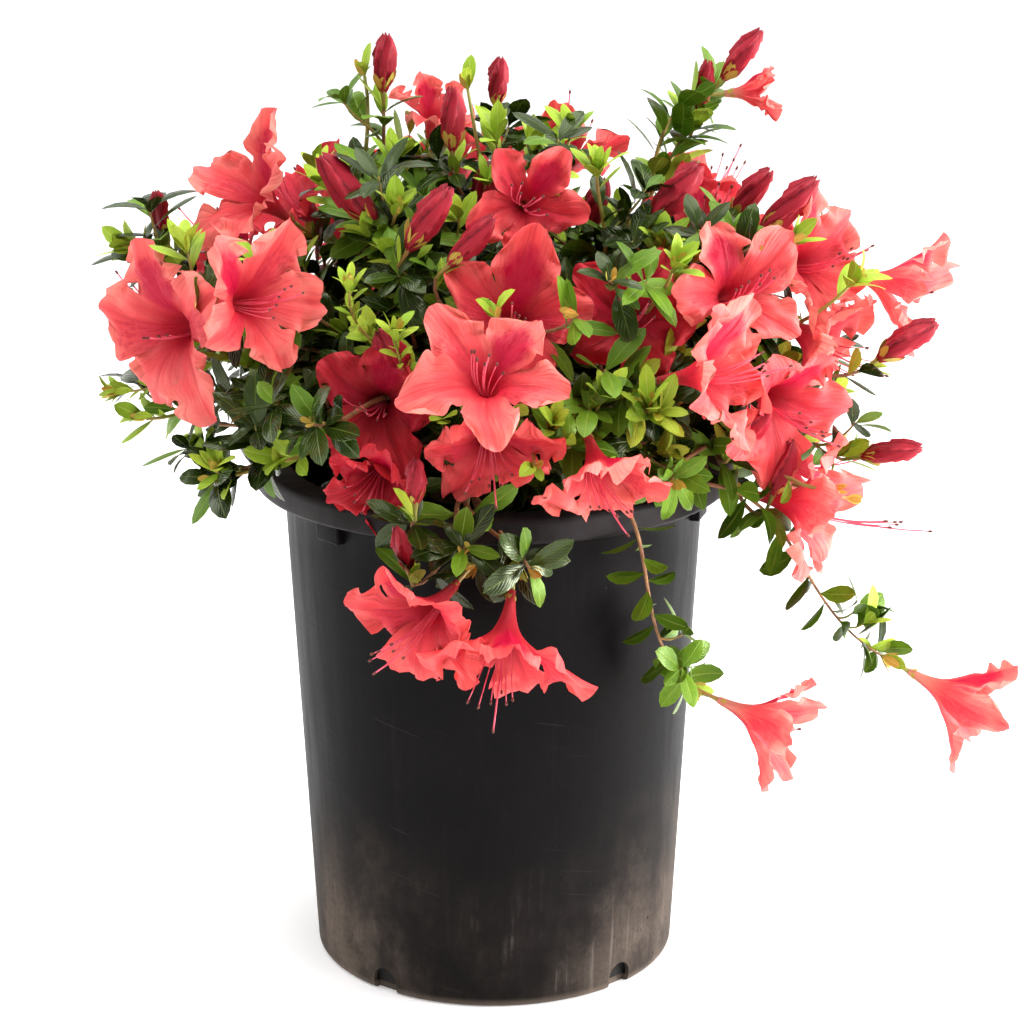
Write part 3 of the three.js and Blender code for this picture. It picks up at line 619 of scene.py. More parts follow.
# Least value and range of a leaf's length, its width as a share of that, and its angle to the twig
LEAF_FORMS = {
    "fine": ((8, 5), (0.3, 0.1), (22, 26)),
    "fine_whorl": ((11, 5), (0.3, 0.1), (22, 26)),
    "green": ((18, 10), (0.36, 0.12), (34, 34)),
    "young": ((12, 9), (0.38, 0.08), (30, 30)),
    "young_whorl": ((12, 9), (0.38, 0.08), (12, 34)),
    "trail": ((16, 8), (0.46, 0.1), (52, 34)),
    "trail_whorl": ((12, 8), (0.46, 0.1), (52, 34)),
    "bud": ((14, 14), (0.34, 0.13), (58, 46)),
    "plain": ((14, 14), (0.34, 0.13), (40, 46)),
}


class Leaves(Pile):
    """Leaves of one kind: each a curved blade in its own outline, folded along its midrib."""

    def __init__(self, name):
        super().__init__(name)
        self.rows = []

    def grow(self, root, way, face, *form):
        """Adds a leaf. form: its length, width, curl, fold and cell of colour."""
        self.rows.append((*root, *way, *face, *form))

    def blades(self, root, way, face, length, width, curl, fold):
        """The points of each leaf's blade in rows from its root, with the tip's point last."""
        shares = np.append(LEAF_ROWS, 1.0)
        angle = curl * (shares - 0.35)
        middle = (angle[:, 1:] + angle[:, :-1]) / 2
        steps = np.diff(shares) * length
        start = np.zeros((len(root), 1))
        flat = np.concatenate([start, np.cumsum(np.cos(middle) * steps, 1)], 1)[..., None]
        drop = np.concatenate([start, np.cumsum(np.sin(middle) * steps, 1)], 1)[..., None]
        line = root[:, None] + way[:, None] * flat - face[:, None] * drop
        normal = way[:, None] * np.sin(angle)[..., None] + face[:, None] * np.cos(angle)[..., None]
        half, fold = (width / 2 * LEAF_OUTLINE)[..., None], fold[..., None]
        across = (half * LEAF_COLUMNS * np.cos(fold))[..., None]
        rise = (half * (np.abs(LEAF_COLUMNS) * np.sin(fold) - 0.3 * LEAF_COLUMNS**2))[..., None]
        side = np.cross(way, face)[:, None, None]
        blade = line[:, :-1, None] + side * across + normal[:, :-1, None] * rise
        return np.concatenate([blade.reshape(len(root), -1, 3), line[:, -1:]], 1)

    def mesh(self):
        t = np.array(self.rows)
        rows, columns = len(LEAF_ROWS), len(LEAF_COLUMNS)
        last = (rows - 1) * columns
        tips = np.array([[last + k, last + k + 1, last + columns] for k in range(columns - 1)])
        starts = (np.arange(len(t)) * (rows * columns + 1))[:, None, None]
        u = np.append(np.tile(0.5 + 0.46 * LEAF_COLUMNS, rows), 0.5)
        v = np.append(np.repeat(0.02 + 0.96 * LEAF_ROWS, columns), 0.98)
        uv = np.stack([(t[:, 13:] + u) / LEAF_CELLS, np.tile(v, (len(t), 1))], -1)
        faces = [(grid_faces(rows, columns) + starts).reshape(-1, 4), (tips + starts).reshape(-1, 3)]
        self.add(self.blades(*np.split(t, [3, 6, 9, 10, 11, 12, 13], 1)[:7]), faces, uv)
        return super().mesh()


def leaf_pose(ahead, frame, side, opening):
    """The direction of a leaf on a twig, and its upper face, which it turns to the light."""
    out = turned(*frame, side)
    out = (out - ahead * out.dot(ahead)).normalized()
    way = turned(ahead, out, opening)
    face = turned(-out, ahead, opening) + UP * 0.55
    return way, (face - way * face.dot(way)).normalized()


def leaf_kind(twig, young, tone, random):
    """The name of a leaf's kind: young ones are fresh, and whole twigs and some leaves are plain green. Twigs
    that fill the crown's inside are seldom plain green, so that their deep leaves give painted shade inside
    the crown.
    """
    # Fill twigs take the deep kind more often: painted shade inside the crown
    plain = tone < (0.08 if twig.kind == "fill" else 0.26) or random() < 0.16 or twig.mass.trail
    if twig.green:
        return "leaves_fresh" if random() < 0.3 else "leaves_green"
    return "leaves_fresh" if young or twig.fine else "leaves_green" if plain else "leaves_deep"


def add_leaves(twig, index, piles, blossoms):
    """Leaves along a twig's outer part and a whorl at its end, young and lime-green on some."""
    points, kind, trailing = twig.points, twig.kind, twig.mass.trail
    random = draws_for(4, index)
    frames = frames_along(points)
    last = len(points) - 1
    own = "green" if twig.green else "fine" if twig.fine else None
    start, spacing = LEAVING["trail" if trailing else own or kind]
    count = 0 if twig.bare else int(length_of(points) * (1 - start) / spacing)
    step = 0.012 if twig.lime else 0.026
    tone = random()
    for i in range(count + (twig.whorl or WHORLS[kind])):
        in_whorl = i >= count
        share = 1 - step * (i - count) if in_whorl else start + (1 - start) * (i + random() * 0.6) / count
        place, line_way = along(points, share)
        by_head = kind in ("bud", "bloom") and in_whorl and i % 2 == 0
        young = twig.lime and (in_whorl or share > 0.66) or by_head
        form = "young" if young else "trail" if trailing else "bud" if kind == "bud" else "plain"
        form = own or form
        form = LEAF_FORMS.get(form + "_whorl" * in_whorl, LEAF_FORMS[form])
        length, slim, opening = (least + more * random() for least, more in form)
        side = GOLDEN_ANGLE * i + 0.5 * random()
        frame = frames[min(int(share * last), last)]
        way, face = leaf_pose(twig.way if in_whorl else line_way, frame, side, math.radians(opening))
        end = place + way * length
        in_blossom = blossoms.holds([place + way * (length * 0.55), end], 10)
        if in_blossom or hits_pot([place + way * (length * 0.5), end]):
            continue
        if kind in ("fill", "side") and not trailing and hides_rim([end]):
            continue
        piles[leaf_kind(twig, young, tone, random)].grow(
            place, way, face, length, length * slim, 0.2 + 0.9 * random(), 0.1 + 0.45 * random(),
            int(random() * LEAF_CELLS))


# Blossoms

PETAL_ROWS, PETAL_COLUMNS = 26, 17
SINUS = 0.44  # share of a petal's length where the tube parts into lobes
LOBE_SHARES = [0.55, 0.68, 0.8, 0.9, 1]
LOBE_WIDTHS = [0.76, 0.92, 1.0, 0.93, 0.72]
PETAL_TYPES = 3
PETAL_VARIANTS = 5  # the last for a blossom that shows its petals' outside, pale at the foot
# The petals round a blossom from the top: type, lean in degrees, and -1 where one is mirrored
PETALS = [(0, -12, 1), (1, -4, 1), (2, 8, 1), (2, 8, 1), (1, -4, -1)]
PROFILE_STEPS = 60


def smooth(x, low, high):
    t = np.clip((x - low) / (high - low), 0, 1)
    return t * t * (3 - 2 * t)


def petal_profile(spread, lean):
    """Radius and height along a petal's middle for unit length, with its slope from the axis."""
    t = np.linspace(0, 1, PROFILE_STEPS + 1)
    opening = [45 * min(spread + 0.2, 1), *(slope * spread for slope in (60, 74, 84, 94, 104))]
    slopes = np.interp(t, [0, 0.15, 0.3, 0.42, 0.5, 0.64, 0.8, 0.92, 1], [6, 9, 24, *opening])
    slopes = np.radians(slopes + lean * smooth(t, 0.48, 0.85))
    middle = (slopes[1:] + slopes[:-1]) / 2
    r = np.concatenate([[0], np.cumsum(np.sin(middle) / PROFILE_STEPS)])
    z = np.concatenate([[0], np.cumsum(np.cos(middle) / PROFILE_STEPS)])
    return t, r, z, slopes


def petal_relief(u, v, free, random):
    """How far a petal stands off its plain sheet: ruffled edges, a groove, a fold and a curled tip."""
    phases = [2 * math.pi * random() for _ in range(5)]
    waves = 1.5 + 1.1 * random()
    edge = np.abs(v) ** 1.5
    ruffle = np.where(v > 0, np.sin(2 * math.pi * waves * u * 1.6 + phases[0]),
                      np.sin(2 * math.pi * (waves + 0.5) * u * 1.6 + phases[1]))
    lift = (2.2 + 1.8 * random()) * ruffle * edge * free
    lift += 1.7 * np.sin(2 * math.pi * 0.9 * v + phases[2]) * smooth(u, 0.68, 1)
    cup = (random() - 0.35) * 6.5
    lift += cup * np.abs(v) ** 1.8 * free
    fold = 5.5 * random() ** 2 * (1 if random() < 0.5 else -1)
    lift += abs(fold) * np.clip(v * np.sign(fold), 0, 1) ** 2 * free
    lift -= 1.1 * np.exp(-((v / 0.16) ** 2)) * smooth(u, 0.3, 0.6)
    lift += 4.5 * (random() - 0.5) * v * free
    lift += 0.6 * np.sin(11 * u + 8 * v + phases[3]) * free
    crimps = 5 + 2 * random()
    lift += (0.5 + 0.5 * random()) * np.sin(2 * math.pi * crimps * u + phases[4]) * np.abs(v) ** 4 * free
    lift += 0.35 * np.sin(31 * v + 9 * u + phases[1]) * free
    return lift


def petal_sheet(u, v, blossom, lean, random):
    """A petal's points as distances outward from the axis, sideways and along the axis: round the tube at
    first, then a free lobe with a blunt point."""
    half, strap = BLOOM_SPAN / 2 * blossom.size, blossom.strap
    length = half * 1.42
    sinus = SINUS - 0.18 * strap
    lean += 30 * (random() - 0.5)
    grow = 1 + 0.24 * (random() - 0.5)
    t, r, z, slopes = petal_profile(blossom.spread, lean)
    point = 0.04 * np.exp(-(v / 0.3) ** 2) * (1.6 * random() - 0.6)
    at = 0.96 * u + (point - (0.12 + 0.06 * random()) * np.abs(v) ** 2.6) * smooth(u, 0.55, 1)
    stretch = 1 + (grow - 1) * smooth(at, sinus, 1)
    radius = np.interp(at, t, r) * stretch * length + 1.6
    height = np.interp(at, t, z) * stretch * length
    slope = np.interp(at, t, slopes)
    widest = half * (0.31 + 0.07 * random())
    shares, widths = [0, sinus, *LOBE_SHARES], [0.34, 0.66 * (1 - 0.5 * strap), *LOBE_WIDTHS]
    width = np.interp(u, shares, widths) * widest * (1 - 0.32 * strap)
    angle = math.radians(36) * v
    flat = smooth(u, sinus - 0.04, 0.66 - 0.2 * strap)
    sideways = (1 - flat) * radius * np.sin(angle) + flat * v * width
    sideways = sideways + 9 * (random() - 0.5) * smooth(u, SINUS, 1) ** 2
    outward = (1 - flat) * radius * np.cos(angle) + flat * radius
    lift = petal_relief(u, v, smooth(u, SINUS, 0.74) * (1 - 0.45 * strap), random)
    return outward - np.cos(slope) * lift, sideways, height + np.sin(slope) * lift


def add_corolla(pile, blossom, random):
    """Five petals, joined in a tube for their lower part and ruffled round their free edges."""
    right, upper = (np.array(v) for v in sides_of(blossom.way))
    way, base = np.array(blossom.way), np.array(blossom.base)
    u = np.linspace(0, 1, PETAL_ROWS)[:, None]
    v = np.linspace(-1, 1, PETAL_COLUMNS)[None]
    variant = int(random() * (PETAL_VARIANTS - 1))
    if blossom.strap:
        variant = PETAL_VARIANTS - 1
    for k, (kind, lean, mirror) in enumerate(PETALS):
        turn = math.radians(90 - blossom.roll + 72 * k)
        out, aside = turned(right, upper, turn), turned(upper, -right, turn)
        outward, sideways, height = (x[..., None] for x in petal_sheet(u, v, blossom, lean, random))
        cu = (kind + 0.5 + 0.47 * mirror * v + 0 * u) / PETAL_TYPES
        cv = (variant + 0.02 + 0.96 * u + 0 * v) / PETAL_VARIANTS
        pile.add(base + outward * out + sideways * aside + height * way,
                 [grid_faces(PETAL_ROWS, PETAL_COLUMNS)], np.stack([cu, cv], -1))


def add_stamens(threads, knobs, blossom, random):
    """A handful of long filaments that curve down and then up, with dark anthers, and a longer style."""
    half, count, base, way = BLOOM_SPAN / 2 * blossom.size, blossom.stamens, blossom.base, blossom.way
    right, upper = sides_of(way)
    turn = math.radians(blossom.roll)
    down, side = -turned(upper, right, turn), turned(right, -upper, turn)
    for i in range(count + 1 if count else 0):
        style = i == count
        reach = half * blossom.style * (1 if style else 0.69 + 0.15 * random())
        out = 0.05 if style else (i - count / 2) / count
        start = base + way * 5 + side * (out * 2.5)
        middle = start + way * (reach * 0.55) + down * (5 + 2 * random()) + side * (out * 9)
        end = start + way * reach + down * (1.5 - 5 * random()) + side * (out * 20 + 3 * (random() - 0.5))
        line = [start * (1 - t) ** 2 + middle * (2 * t * (1 - t)) + end * t * t for t in taper(0, 1, 8)]
        thick = 0.5 if style else 0.36
        limb_skin(threads, line, taper(thick, thick * 0.7, 8), 5)
        knob = [line[-1] + end_way(line) * x for x in (-0.6, -0.1, 0.6, 1.2, 1.6)]
        limb_skin(knobs, knob, [0.2, 0.5, 0.62, 0.5, 0.2], 6)


BUD_ROWS, BUD_COLUMNS = 17, 30


def add_bud(pile, spray, random):
    """A furled bud: five petals rolled round one another, so that their edges wind up to the tip."""
    length, width = BUD_LENGTH * spray.size, BUD_WIDTH * spray.size
    right, upper = (np.array(v) for v in sides_of(spray.way))
    u = np.linspace(0, 1, BUD_ROWS)[:, None]
    turn = 2 * np.pi * np.arange(BUD_COLUMNS)[None] / BUD_COLUMNS
    reach = np.interp(u, [0, 0.08, 0.22, 0.4, 0.58, 0.74, 0.88, 1],
                      [0.24, 0.48, 0.76, 0.94, 1.0, 0.92, 0.68, 0.26]) * width / 2
    roll = np.mod(turn / (2 * np.pi) * 5 - (0.8 + 0.5 * random()) * u + random(), 1)
    lapped = 0.7 + 0.4 * roll**1.8
    uneven = 1 + 0.1 * np.sin(3 * turn + 6 * u + 6.28 * random()) * u
    folds = 1 + 0.055 * np.sin(11 * turn + 3 * u + 6.28 * random()) * np.sin(math.pi * u)
    reach = (reach * lapped * uneven * folds)[..., None]
    lean = np.array(shake(random, 4.0))
    ragged = 0.11 * (roll - 0.4) * u**3
    centre = np.array(spray.base) + np.array(spray.way) * ((u + ragged)[..., None] * length)
    centre = centre + lean * (u**2)[..., None]
    points = centre + (right * np.cos(turn)[..., None] + upper * np.sin(turn)[..., None]) * reach
    uv = np.stack([roll * 0.9 + 0.05, (u + 0 * turn) * 0.96 + 0.02], -1)
    wall, ends = tube_faces(BUD_ROWS, BUD_COLUMNS)
    pile.add(points, [wall, ends[1:], ends[:1]], uv)


def add_scales(scales, base, way, count, length, open_angle, random):
    """Small bud scales round the foot of a bud or a flower stalk."""
    right, upper = sides_of(way)
    for i in range(count):
        out = turned(right, upper, GOLDEN_ANGLE * i + random())
        opening = open_angle * (0.7 + 0.6 * random())
        size = length * (0.8 + 0.4 * random())
        scales.grow(base + out * 0.8, turned(way, out, opening), turned(-out, way, opening), size,
                    size * 0.42, -0.3, 0.3, int(random() * 4))


# Materials

def arithmetic(operation, swapped=False):
    """A method of Value that adds a math node."""
    def method(self, other=0.0):
        return self.graph.math(operation, *((other, self) if swapped else (self, other)))
    return method


class Value:
    """The output of a shader node."""

    def __init__(self, graph, socket):
        self.graph, self.socket = graph, socket

    __add__, __sub__, __rsub__ = arithmetic("ADD"), arithmetic("SUBTRACT"), arithmetic("SUBTRACT", True)
    __mul__, __truediv__ = arithmetic("MULTIPLY"), arithmetic("DIVIDE")
    __pow__, __abs__ = arithmetic("POWER"), arithmetic("ABSOLUTE")


class Graph:
    """A tree of shader nodes, made by short calls. Colours have three parts from 0 to 255."""

    def __init__(self, tree):
        self.tree = tree

    def put(self, socket, value):
        if isinstance(value, Value):
            self.tree.links.new(value.socket, socket)
        elif socket.type == "RGBA" and len(value) == 3:
            light = (c / 255 / 12.92 if c <= 10 else ((c / 255 + 0.055) / 1.055) ** 2.4 for c in value)
            socket.default_value = (*light, 1)
        else:
            socket.default_value = value

    def node(self, kind, inputs=None, output=0, **settings):
        """One output of a new node, whose inputs are given by name or number."""
        n = self.tree.nodes.new("ShaderNode" + kind)
        for name, value in settings.items():
            setattr(n, name, value)
        for name, value in (inputs or {}).items():
            self.put(n.inputs[name], value)
        return Value(self, n.outputs[output])

    def math(self, operation, a, b=0.0, clamp=False):
        return self.node("Math", {0: a, 1: b}, operation=operation, use_clamp=clamp)

    def mix(self, share, a, b):
        return self.node("Mix", {"Factor": share, 6: a, 7: b}, 2, data_type="RGBA")

    def ramp(self, value, low, high, first=0.0, last=1.0, kind="SMOOTHSTEP"):
        inputs = {"Value": value, "From Min": low, "From Max": high, "To Min": first, "To Max": last}
        return self.node("MapRange", inputs, interpolation_type=kind)

    def uv(self):
        return self.node("UVMap", uv_map="OFBake")

    def place(self):
        return self.node("TexCoord", output="Object")

    def parts(self, vector):
        x = self.node("SeparateXYZ", {0: vector})
        return [Value(self, socket) for socket in x.socket.node.outputs]

    def join(self, x, y, z=0.0):
        return self.node("CombineXYZ", {0: x, 1: y, 2: z})

    def noise(self, vector, scale, detail=3.0, roughness=0.5):
        inputs = {"Vector": vector, "Scale": scale, "Detail": detail, "Roughness": roughness}
        return self.node("TexNoise", inputs)

    def cells(self, vector, scale):
        return self.node("TexVoronoi", {"Vector": vector, "Scale": scale}, "Distance")


class Look(Graph):
    """A material with its principled shader, and the base colour that it has so far."""

    def __init__(self, name, roughness, specular=0.5, **constants):
        self.material = bpy.data.materials.new(name)
        self.material.use_nodes = True
        super().__init__(self.material.node_tree)
        self.shader = self.tree.nodes["Principled BSDF"]
        constants = {"Roughness": roughness, "Specular_IOR_Level": specular, **constants}
        for socket, value in constants.items():
            self.shader.inputs[socket.replace("_", " ")].default_value = value

    def paint(self, share, colour):
        """Lays a colour over the base colour."""
        self.base = self.mix(share, self.base, colour)

    def done(self, height, distance, strength=0.6):
        """The material, with its base colour and relief."""
        self.put(self.shader.inputs["Base Color"], self.base)
        inputs = {"Distance": distance, "Strength": strength, "Height": height}
        self.put(self.shader.inputs["Normal"], self.node("Bump", inputs))
        return self.material

    def let_light_through(self, share):
        """Mixes in a translucent shader, as thin petals let light through."""
        thin = self.node("BsdfTranslucent", {"Color": self.base})
        both = self.node("MixShader", {0: share, 1: Value(self, self.shader.outputs[0]), 2: thin})
        self.put(self.tree.nodes["Material Output"].inputs["Surface"], both)


def leaf_material(name, blade, shade, rib, roughness, sheen=(0.7, 1.0, 0.3)):
    """A leaf's look: pale midrib and faint side veins, and each of its kind's cells a little different."""
    g = Look(name, roughness, 0.4, Specular_Tint=(*sheen, 1))
    x, y, _ = g.parts(g.uv())
    scaled = x * LEAF_CELLS
    across = abs(g.math("FRACT", scaled) - 0.5)
    tone = g.noise(g.join(g.math("FLOOR", scaled) * 3.7, 0.5), 1.0, 0)
    blotch = g.noise(g.join(x * 20, y * 4), 1.4, 4)
    g.base = g.mix(g.ramp(tone, 0.3, 0.7), blade, shade)
    g.paint(g.ramp(blotch, 0.4, 0.7) * 0.45, shade)
    veins = abs(g.math("SINE", (y * 9 + across * -7) * math.pi)) ** 14
    g.paint(veins * 0.06, rib)
    midrib = g.ramp(across, 0.008, 0.035, 1, 0)
    g.paint(midrib * 0.5, rib)
    # Paler towards each leaf's edges: a painted highlight
    g.paint(g.ramp(across, 0.42, 0.46, 0, 0.35), rib)
    return g.done(midrib * -0.6 + veins * -0.2, 0.0006)


BLOTCH, PALE_FOOT = (186, 4, 52), (236, 178, 150)


def petal_material(name, blade, throat, edge):
    """A petal's look: deeper towards the throat, faint veins, and magenta freckles on the upper lobes."""
    g = Look(name, 0.5, 0.3)
    x, y, _ = g.parts(g.uv())
    scaled, rows = x * PETAL_TYPES, y * PETAL_VARIANTS
    kind, variant = g.math("FLOOR", scaled), g.math("FLOOR", rows)
    v, u = (g.math("FRACT", scaled) - 0.5) * 2.1, g.math("FRACT", rows)
    side = abs(v)
    shift = (variant + kind * 5) * 4.3
    cloud = g.noise(g.join(v * 1.2, u * 2.6, shift), 1.5, 4)
    # Paler towards the edges and the tip in the edge colour: the petals' own paler rims, and a painted
    # highlight
    paleness = g.ramp(side * 0.42 + u * 0.75, 0.55, 1.1) * 0.75 + g.ramp(cloud, 0.4, 0.75, -0.1, 0.4)
    g.base = g.mix(g.math("MULTIPLY", paleness, 1, clamp=True), blade, edge)
    streak = g.noise(g.join(v / (u + 0.25) * 10, u, shift), 1.7, 4)
    g.paint(g.ramp(streak, 0.47, 0.7) * 0.32, throat)
    g.paint(g.ramp(side, 0.0, 0.13, 1, 0) * g.ramp(u, 1.0, 0.55, 0, 0.5), throat)
    pale = g.ramp(variant, PETAL_VARIANTS - 1.6, PETAL_VARIANTS - 1.4)
    deep = g.ramp(u, 0.74, 0.34, 0, 0.92) * g.ramp(u, 0.04, 0.3, 0.3, 1)
    g.paint(deep * (1 - pale * 0.7), throat)
    g.paint(pale * g.ramp(u, 0.4, 0.08, 0, 0.6), PALE_FOOT)
    middle = v - g.math("MINIMUM", kind, 1) * 0.62
    from_middle = (middle / 0.75) ** 2 + ((u - 0.6) / 0.24) ** 2
    strength = g.ramp(from_middle, 1.3, 0.3, 0, 1) * g.ramp(kind, 1.7, 0.0, 0, 1)
    g.paint(strength * 0.9, BLOTCH)
    freckles = g.ramp(g.cells(g.join(v * 8, u * 18, shift), 1.0), 0.6, 0.3, 0, 1)
    g.paint(g.math("MULTIPLY", freckles, strength, clamp=True), BLOTCH)
    g.let_light_through(0.25)
    return g.done(streak + cloud * 0.6, 0.0014, 0.7)


def simple_material(name, first, second, scale, roughness, bump, stretch=(1, 1, 1), **constants):
    """Two colours clouded by noise in the object's own space, with the same noise as relief."""
    g = Look(name, roughness, **constants)
    spot = g.join(*(x * k for x, k in zip(g.parts(g.place()), stretch)))
    cloud = g.noise(spot, scale, 5, 0.6)
    g.base = g.mix(g.ramp(cloud, 0.32, 0.68), first, second)
    return g.done(cloud, bump)


def bud_material(name):
    """Crimson furled petals, with painted shade where one tucks under the next and a painted highlight along
    each one's outer edge.
    """
    g = Look(name, 0.5, 0.25)
    x, y, _ = g.parts(g.uv())
    cloud = g.noise(g.join(x * 16, y * 0.9), 1.5, 4)
    g.base = g.mix(g.ramp(cloud, 0.3, 0.75), (132, 9, 30), (176, 28, 48))
    # Painted shade where a petal tucks under the next
    g.paint(g.ramp(x, 0.34, 0.06, 0, 0.85), (84, 3, 18))
    # Painted highlight along each petal's outer edge
    g.paint(g.ramp(x, 0.74, 0.95, 0, 0.4), (226, 84, 90))
    g.paint(g.ramp(y, 0.75, 1.0, 0, 0.4), (110, 8, 24))
    return g.done(cloud, 0.0008, 0.5)


def pot_material():
    """Satin black plastic: dusty towards its foot, with streaks, rubs, pits and fine scratches. The dust is
    stronger on the sides that face left and right, as a painted sheen there, and the rim's band has a painted
    reflection in lighter grey.
    """
    g = Look("pot_plastic", 0.4, 0.07)
    spot = g.place()
    x, y, z = g.parts(spot)
    turn = g.math("ARCTAN2", x, y * -1)
    film = g.noise(spot, 16, 6, 0.65)
    streak = g.noise(g.join(turn * 5, 0.0, z * 6), 2.2, 6, 0.7)
    patch = g.noise(g.join(turn * 1.6, 0.0, z * 12), 1.6, 5, 0.6)
    speckle = g.noise(spot, 420, 3, 0.7)
    ring = g.noise(g.join(turn * 1.5, 0.0, z * 900), 1.0, 2)
    scratch = g.noise(g.join(z * 420 + turn * 9, turn * 1.2, 0.0), 1.0, 2)
    rub = g.noise(g.join(turn * 22, 0.0, z * 10), 1.5, 5, 0.7)
    g.base = g.mix(g.ramp(film, 0.35, 0.7), (4, 3, 3), (9, 7, 8))
    g.paint(g.ramp(streak, 0.5, 0.8, 0, 0.36), (34, 29, 30))
    dusty = g.ramp(z + (film - 0.5) * 0.11, 0.1, -0.005, 0, 1)
    # Dust towards the foot, stronger on the sides that face left and right: real dust, with a painted sheen
    # on those sides
    sideways = g.ramp(abs(g.math("SINE", turn)), 0.2, 0.95, 0.1, 0.72)
    dust_and_edge_sheen = dusty * sideways * g.ramp(patch, 0.36, 0.62, 0.2, 1)
    g.paint(dust_and_edge_sheen, g.mix(g.ramp(speckle, 0.25, 0.75), (94, 82, 73), (112, 99, 88)))
    low_patch = g.ramp(patch, 0.5, 0.62) * g.ramp(z, 0.08, 0.015, 0, 0.45)
    g.paint(g.ramp(rub, 0.45, 0.78) * low_patch, (122, 111, 104))
    g.paint(g.ramp(scratch, 0.71, 0.75) * 0.06, (110, 104, 102))
    # The rim's band painted lighter grey in patches: a painted reflection
    g.paint(g.ramp(z, 0.229, 0.233) * g.ramp(film, 0.3, 0.66, 0.25, 0.7), (57, 53, 54))
    g.paint(g.ramp(z, 0.005, 0.001, 0, 0.4), (126, 112, 100))
    pits = g.ramp(g.cells(spot, 110), 0.13, 0.04, 0, 1) * g.ramp(film, 0.52, 0.62, 0, 1)
    g.paint(pits, (8, 7, 8))
    rough = g.math("ADD", g.ramp(streak, 0.3, 0.8, 0.42, 0.58), dust_and_edge_sheen * 0.4, clamp=True)
    g.put(g.shader.inputs["Roughness"], rough)
    return g.done(ring * 0.5 + speckle * 0.5 - pits, 0.0003, 0.5)


def soil_material():
    """Crumbled bark mix, with painted shade that makes it nearly black low in the pot."""
    g = Look("potting_mix_look", 0.92)
    spot = g.place()
    cloud = g.noise(spot, 140, 5, 0.6)
    g.base = g.mix(g.ramp(cloud, 0.32, 0.68), (34, 24, 18), (72, 52, 38))
    # Painted shade low in the pot, seen through the notches at its foot
    g.paint(g.ramp(g.parts(spot)[2], 0.03, 0.06, 1, 0), (14, 10, 8))
    return g.done(cloud, 0.001)


# Every piece of the plant: its slot, and the maker of its material with what that is given
PIECES = {
    "trunk_and_boughs": ("bark", simple_material, "bark", (94, 70, 50), (140, 112, 84), 160, 0.85, 0.0012,
                         (1, 1, 0.35)),
    "twigs_woody": ("bark", simple_material, "twig_bark", (112, 72, 44), (150, 108, 66), 240, 0.7, 0.0004),
    "twigs_green": ("foliage", simple_material, "green_stalks", (132, 140, 54), (150, 108, 54), 60, 0.55,
                    0.0002),
    "leaves_deep": ("foliage", leaf_material, "leaves_deep_look", (38, 56, 10), (22, 34, 6),
                    (100, 120, 48), 0.15, (0.9, 1.0, 0.66)),
    "leaves_green": ("foliage", leaf_material, "leaves_green_look", (98, 132, 30), (62, 92, 16),
                     (156, 176, 78), 0.3),
    "leaves_fresh": ("foliage", leaf_material, "leaves_fresh_look", (170, 190, 60), (126, 158, 40),
                     (206, 216, 116), 0.42),
    "bud_scales": ("foliage", leaf_material, "bud_scales_look", (196, 186, 84), (190, 128, 52),
                   (220, 210, 140), 0.5),
    # Three copies of the petals' look, pale to deep: the red's own depth, and painted shade for blossoms that
    # sit in shade
    "petals_light": (None, petal_material, "petals_light_look", (238, 82, 84), (190, 14, 42),
                     (251, 146, 132)),
    "petals_middle": (None, petal_material, "petals_middle_look", (226, 58, 66), (172, 10, 36),
                      (243, 110, 104)),
    "petals_deep": (None, petal_material, "petals_deep_look", (204, 32, 50), (140, 6, 26), (228, 66, 74)),
    "buds": (None, bud_material, "bud_petals"),
    "stamens": (None, simple_material, "filaments", (206, 50, 82), (228, 100, 118), 80, 0.5, 0.0001),
    "anthers": (None, simple_material, "anther_dust", (70, 20, 30), (120, 60, 44), 900, 0.8, 0.0003),
}


# Pot and soil

def lathe(pile, profile, sides):
    """A closed surface of revolution: profile points (radius, height), first and last on the axis."""
    turns = 2 * np.pi * np.arange(sides) / sides
    inner = np.array(profile[1:-1], float)
    rings = np.stack([inner[:, None, 0] * np.sin(turns), -inner[:, None, 0] * np.cos(turns),
                      inner[:, None, 1] + 0 * turns], -1).reshape(-1, 3)
    foot, top = len(inner) * sides, (len(inner) - 1) * sides
    k = np.arange(sides)
    k2 = (k + 1) % sides
    low = np.stack([k2, k, np.full(sides, foot)], 1)
    high = np.stack([top + k, top + k2, np.full(sides, foot + 1)], 1)
    axis = [(0, 0, profile[0][1]), (0, 0, profile[-1][1])]
    pile.add(np.vstack([rings, axis]), [grid_faces(len(inner), sides, closed=True), low, high])


def arc(cx, cz, radius, start, end, steps):
    turns = np.radians(np.linspace(start, end, steps + 1))
    return [(cx + radius * math.cos(t), cz + radius * math.sin(t)) for t in turns]


